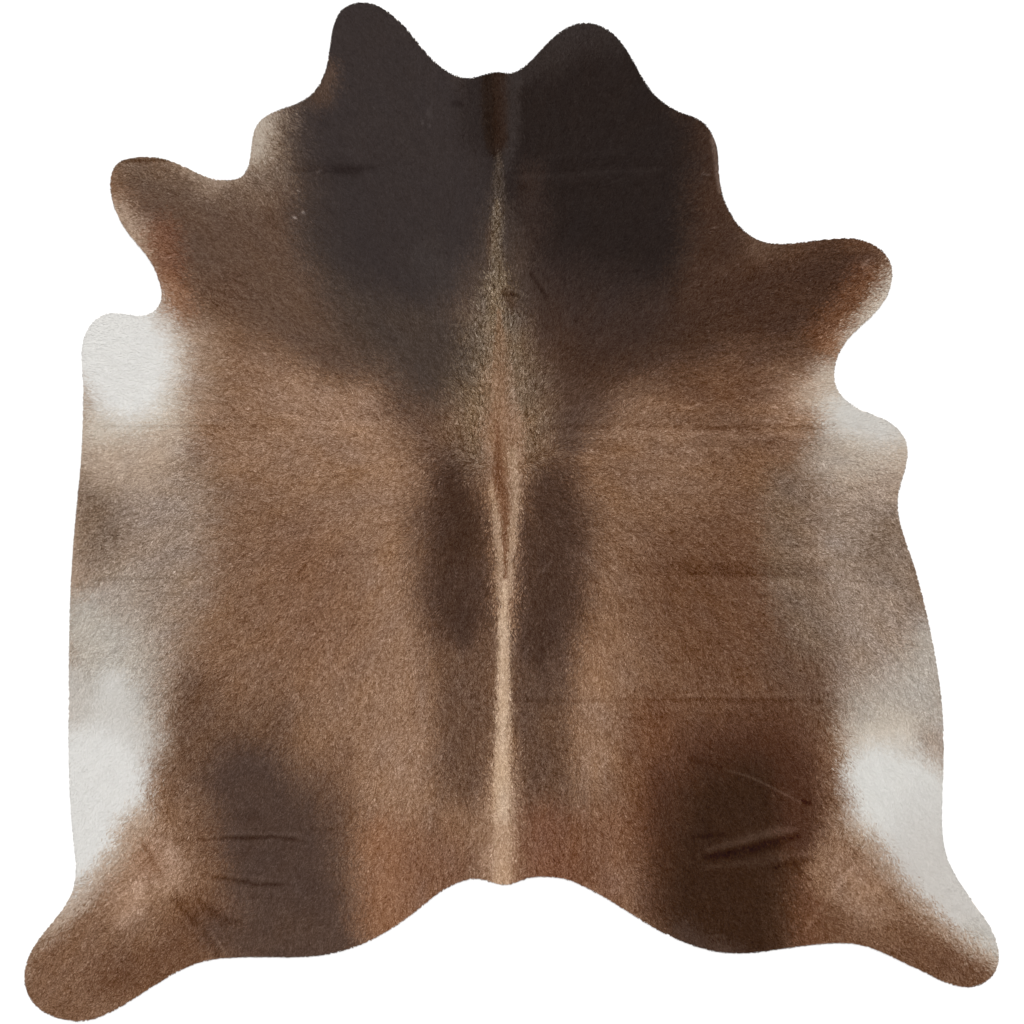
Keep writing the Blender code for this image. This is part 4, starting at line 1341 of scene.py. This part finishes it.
@dataclass
class Coat:
    """The hair: tufts that rise from the skin and lie over the next ones' roots.

    A tuft is a kite of two triangles, bent across its widest line, from its root to its tip.
    """

    footprint: Footprint
    relief: Relief
    way: HairWay
    pattern: CoatPattern
    skin_thickness: float
    spacing: float = 2.9 * MILLIMETRE
    jitter: float = 0.42  # how far a root is moved at most, in spacings
    rim_room: float = 0.8 * MILLIMETRE  # least gap from the edge to a root
    length: float = 9.5 * MILLIMETRE
    width: float = 2.9 * MILLIMETRE
    spread: tuple = (0.8, 1.2)  # least and most of a tuft's length, width and shoulder height
    tip_spread: tuple = (0.6, 1.4)  # the same for its tip's height
    shortest: float = 0.25  # least share of a tuft's length that the edge leaves
    widest_at: float = 0.42  # where along its length a tuft is widest
    shoulder_height: float = 1.3 * MILLIMETRE
    tip_height: float = 2.1 * MILLIMETRE
    sunk: float = 0.3 * MILLIMETRE
    yaw: float = 14.0  # degrees by which single tufts turn off the hair's way, as a spread
    swirl: float = 10.0  # the same for broad patches
    lock: float = 20.0  # and for single locks
    roll: float = 2.5  # degrees by which a tuft leans about its middle line
    wander: float = 0.3  # how far markings' ends wave, in the pattern's scatters
    own_shade: float = 0.95  # how far single tufts differ from their tone, in grains of it
    clump_shade: float = 0.45  # the same for clumps
    drift_shade: float = 0.2  # and for long streaks
    warmth: float = 0.1  # how much warmer or cooler broad patches are, in grains of the tone
    warm_shift: tuple = (0.6, -0.1, -1.0)  # red, green and blue of a warmer patch
    gloss: float = 0.0045  # what the light on the hair's gloss adds to its tone
    gain: float = 0.917  # makes up for the light, which is a little strong for the photo's tones
    root_shade: float = 1.2  # painted shade: how much darker the roots are than the tips, in grains of the tone
    tip_light: float = 0.2  # painted light: how much lighter the tips are than the sides, in root shades
    darkest: float = 0.4  # least share of its tone that a corner keeps
    dimmest: float = 0.1  # least share of its colour that is left of it without the gloss
    edge_shade: float = 0.4  # painted shade: how much darker the coat is at the very edge
    edge_reach: float = 1.6 * MILLIMETRE
    seed: int = 7

    def __post_init__(self) -> None:
        """Starts the random draws at the coat's seed."""
        self.random = np.random.default_rng(self.seed)

    def roots(self) -> np.ndarray:
        """Plants the tufts: the corners of even triangles within the edge, each moved a little.

        Returns:
            The roots' places in metres.
        """
        places = self.footprint.lattice(self.spacing)
        moves = self.random.uniform(-1, 1, places.shape) * self.jitter * self.spacing
        places = places + moves
        return places[self.footprint.inside_by(places) > self.rim_room]

    def streaks(self, name: str, points: np.ndarray) -> np.ndarray:
        """Works out one of the table's noises.

        Args:
            name: Its row in STREAKS.
            points: Places in metres.

        Returns:
            The noise at each place, with a spread of about 1.
        """
        grain, length, more = STREAKS[name]
        grain, length = grain * MILLIMETRE, length * MILLIMETRE
        return Streaks(self.footprint, self.way, grain, length, self.seed + more).at(points)

    def build(self) -> list[bpy.types.Object]:
        """Lays every tuft and makes one piece of each area's tufts.

        Returns:
            The coat's pieces.
        """
        roots = self.roots()
        corners = self.corners(roots)
        colours, grain = self.colours(corners[:, :, :2])
        finish = CoatFinish().material("short cow hair")
        places = self.footprint.on_hide(roots)
        pieces = []
        for area in Area:
            x0, x1, y0, y1 = area.value
            within = ((places >= (x0, y0)) & (places < (x1, y1))).all(axis=1)
            pieces.append(self.piece(area, corners[within], colours[within], grain[within], finish))
        return pieces

    def corners(self, roots: np.ndarray) -> np.ndarray:
        """Works out the four corners of every tuft.

        The root is sunk in the skin. The sides stand off the middle line, half the width each way,
        at the shoulder's height, and are rolled about that line. The tip lies at its own height
        over the skin there. A tuft whose tip would pass the edge is shortened to end at it.

        Args:
            roots: The roots' places in metres.

        Returns:
            An array of tufts by corners (root, right, tip, left) by x, y and z.
        """
        count = len(roots)
        turn = self.swirl * self.streaks("swirl", roots) + self.lock * self.streaks("lock", roots)
        turn = np.radians(turn + self.yaw * self.random.standard_normal(count))
        way = self.way.at(roots)
        way = np.stack(
            [
                way[:, 0] * np.cos(turn) - way[:, 1] * np.sin(turn),
                way[:, 0] * np.sin(turn) + way[:, 1] * np.cos(turn),
            ],
            axis=1,
        )
        length = self.length * self.random.uniform(*self.spread, count)
        width = self.width * self.random.uniform(*self.spread, count)
        inside = self.footprint.inside_by(roots)
        tip_inside = self.footprint.inside_by(roots + length[:, None] * way)
        room = np.clip(inside / np.maximum(inside - tip_inside, SMALL), self.shortest, 1)
        length = np.where(tip_inside < 0, length * room, length)[:, None]

        side = np.stack([way[:, 1], -way[:, 0]], axis=1) * width[:, None] / 2
        middle = roots + self.widest_at * length * way
        flat = np.stack([roots, middle + side, roots + length * way, middle - side], axis=1)
        surface = self.relief.at(flat.reshape(-1, 2)).reshape(count, 4) + self.skin_thickness
        height = self.random.uniform(*self.spread, (count, 1))
        tip_height = self.tip_height * self.random.uniform(*self.tip_spread, count)
        roll = np.tan(np.radians(self.roll * self.random.standard_normal(count))) * width / 2
        surface[:, 0] -= self.sunk
        surface[:, 1::2] += self.shoulder_height * height
        surface[:, 1] += roll
        surface[:, 3] -= roll
        surface[:, 2] += tip_height
        return np.concatenate([flat, surface[:, :, None]], axis=2)

    def colours(self, corners: np.ndarray) -> tuple[np.ndarray, np.ndarray]:
        """Works out the colour of every corner.

        A tuft's tone is read from the pattern a little way off its widest line: by a wander that
        makes the markings' ends wavy, and at random, so that they end in single tufts. Streaks,
        clumps and single tufts are then lighter or darker, by the same in red, green and blue, in
        grains of the tone. Broad patches are a little warmer or cooler, and strokes cross a tuft
        where they lie, the folds' strokes being painted shade and highlight. Painted shade darkens
        each tuft towards its root and the coat at the hide's edge, and painted light brightens each
        tip. What the gloss will add, and what the grain adds to the mean as its square, is taken
        off.

        Args:
            corners: The corners' places in metres, by tuft and corner (root, right, tip, left).

        Returns:
            Linear red, green and blue by tuft and corner, and the grain by tuft and corner.
        """
        count = len(corners)
        shown = (corners[:, 1] + corners[:, 3]) / 2
        wander = [self.streaks(name, shown) for name in ("wander across", "wander along")]
        stray = self.random.standard_normal((count, 2)) + self.wander * np.stack(wander, axis=1)
        tones = self.pattern.at(self.footprint.on_hide(shown), stray)
        strokes = self.pattern.stroked(self.footprint.on_hide(corners.reshape(-1, 2)))
        grain = tones[:, 3]
        shade = (
            self.own_shade * self.random.standard_normal(count)
            + self.clump_shade * self.streaks("clump", shown)
            + self.drift_shade * self.streaks("drift", shown)
        )
        tuft = tones[:, :3] + (grain * shade)[:, None]
        warm = grain * self.warmth * self.streaks("warmth", shown)
        tuft += warm[:, None] * self.warm_shift
        # Painted shade towards each tuft's root and painted light at its tip.
        along = self.root_shade * np.array((-1, 0, self.tip_light, 0))
        corner = tuft[:, None] + (grain[:, None] * along)[:, :, None] + strokes.reshape(count, 4, 1)
        corner = to_linear(np.maximum(corner, self.darkest * tones[:, None, :3]))
        added = self.gloss + grain[:, None, None] ** 2
        corner = np.maximum(corner - added, self.dimmest * corner) * self.gain
        # Painted shade along the hide's cut edge.
        edge = 1 - self.edge_shade * np.exp(-self.footprint.inside_by(shown) / self.edge_reach)
        return corner * edge[:, None, None], np.repeat(grain[:, None], 4, axis=1)

    def piece(
        self,
        area: Area,
        corners: np.ndarray,
        colours: np.ndarray,
        grain: np.ndarray,
        finish: bpy.types.Material,
    ) -> bpy.types.Object:
        """Makes one piece of an area's tufts, each with a cell of its own in the map.

        Args:
            area: The area.
            corners: Its tufts' corners.
            colours: Their colours.
            grain: Their grain.
            finish: The hair's material.

        Returns:
            The piece.
        """
        count = len(corners)
        first = 4 * np.arange(count)[:, None]
        lower, upper = first + (0, 1, 3), first + (1, 2, 3)
        triangles = np.stack([lower, upper], axis=1).reshape(-1, 3)
        piece = new_piece("coat_" + area.name.lower(), corners.reshape(-1, 3), triangles)
        set_tones(piece, colours.reshape(-1, 3), grain.ravel())
        across = math.ceil(math.sqrt(count))
        cell = np.stack([np.arange(count) % across, np.arange(count) // across], axis=1)
        spots = (cell[:, None] + np.array(TUFT_CELL)[None]).reshape(-1, 2) / across
        layer = piece.data.uv_layers.new(name=STRAND_MAP)
        layer.uv.foreach_set("vector", spots[triangles.ravel()].astype(np.float32).ravel())
        piece.data.materials.append(finish)
        return piece


@dataclass
class Studio:
    """The plain set: a pale floor, soft light from the neck's side, a camera straight above."""

    floor_side: float = 12.0
    floor_drop: float = 0.2 * MILLIMETRE  # how far the floor lies under the hide, to clear it
    frame_side: float = 2.2098  # what the picture takes in at the hide, in metres
    frame_middle: tuple = (0.0010, -0.0003)
    coat_height: float = 0.006
    lens: float = 85.0
    sensor: float = 36.0
    sight: float = 50.0  # how far the camera sees, in metres
    fill: float = 0.82
    key: float = 1.75
    key_softness: float = 35.0
    key_tilt: float = 28.0

    def build(self) -> None:
        """Lays the floor and sets the lights and the camera."""
        half = self.floor_side / 2
        corners = np.array(((-half, -half, 0), (half, -half, 0), (half, half, 0), (-half, half, 0)))
        corners[:, 2] = -self.floor_drop
        floor = new_piece("floor", corners, np.array(((0, 1, 2), (0, 2, 3))))
        floor.data.materials.append(FloorFinish().material("pale floor"))

        world = bpy.data.worlds.new("soft room")
        world.use_nodes = True
        room = world.node_tree.nodes["Background"]
        room.inputs["Color"].default_value = (1.0, 1.0, 1.0, 1.0)
        room.inputs["Strength"].default_value = self.fill
        bpy.context.scene.world = world

        lamp = bpy.data.lights.new("key", "SUN")
        lamp.energy = self.key
        lamp.angle = math.radians(self.key_softness)
        key = bpy.data.objects.new("key", lamp)
        key.rotation_euler = (math.radians(-self.key_tilt), 0.0, 0.0)
        bpy.context.scene.collection.objects.link(key)

        lens = bpy.data.cameras.new("camera")
        lens.lens = self.lens
        lens.sensor_width = self.sensor
        lens.clip_end = self.sight
        camera = bpy.data.objects.new("camera", lens)
        distance = self.frame_side * self.lens / self.sensor
        camera.location = (*self.frame_middle, self.coat_height + distance)
        bpy.context.scene.collection.objects.link(camera)
        bpy.context.scene.camera = camera
        bpy.context.scene.view_settings.view_transform = "Standard"


@dataclass
class Cowhide:
    """The whole rug on its frame."""

    flat_size: tuple = (2.105, 2.20)
    flat_area: float = 3.17

    def build(self) -> None:
        """Builds the skin and the coat in the solid's box, and ties them to the frame."""
        low, high = (np.array(corner)[:2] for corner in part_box(HIDE_NODE))
        footprint = Footprint(low, high)
        relief = Relief(footprint)
        pattern = CoatPattern()
        way = HairWay(footprint)
        maker = Skin(footprint, relief, pattern)
        skin = maker.build()
        coat = Coat(footprint, relief, way, pattern, maker.thickness).build()
        for piece in (skin, *coat):
            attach(piece, BODY)
            log.info("%s: %d triangles", piece.name, len(piece.data.polygons))
        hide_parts(HIDE_NODE)


def main() -> None:
    """Builds the rug and its set."""
    logging.basicConfig(level=logging.INFO, format="%(name)s %(message)s")
    Cowhide().build()
    log.info("the rug is on its frame")
    Studio().build()
    log.info("the set is ready")


if __name__ == "__main__":
    main()
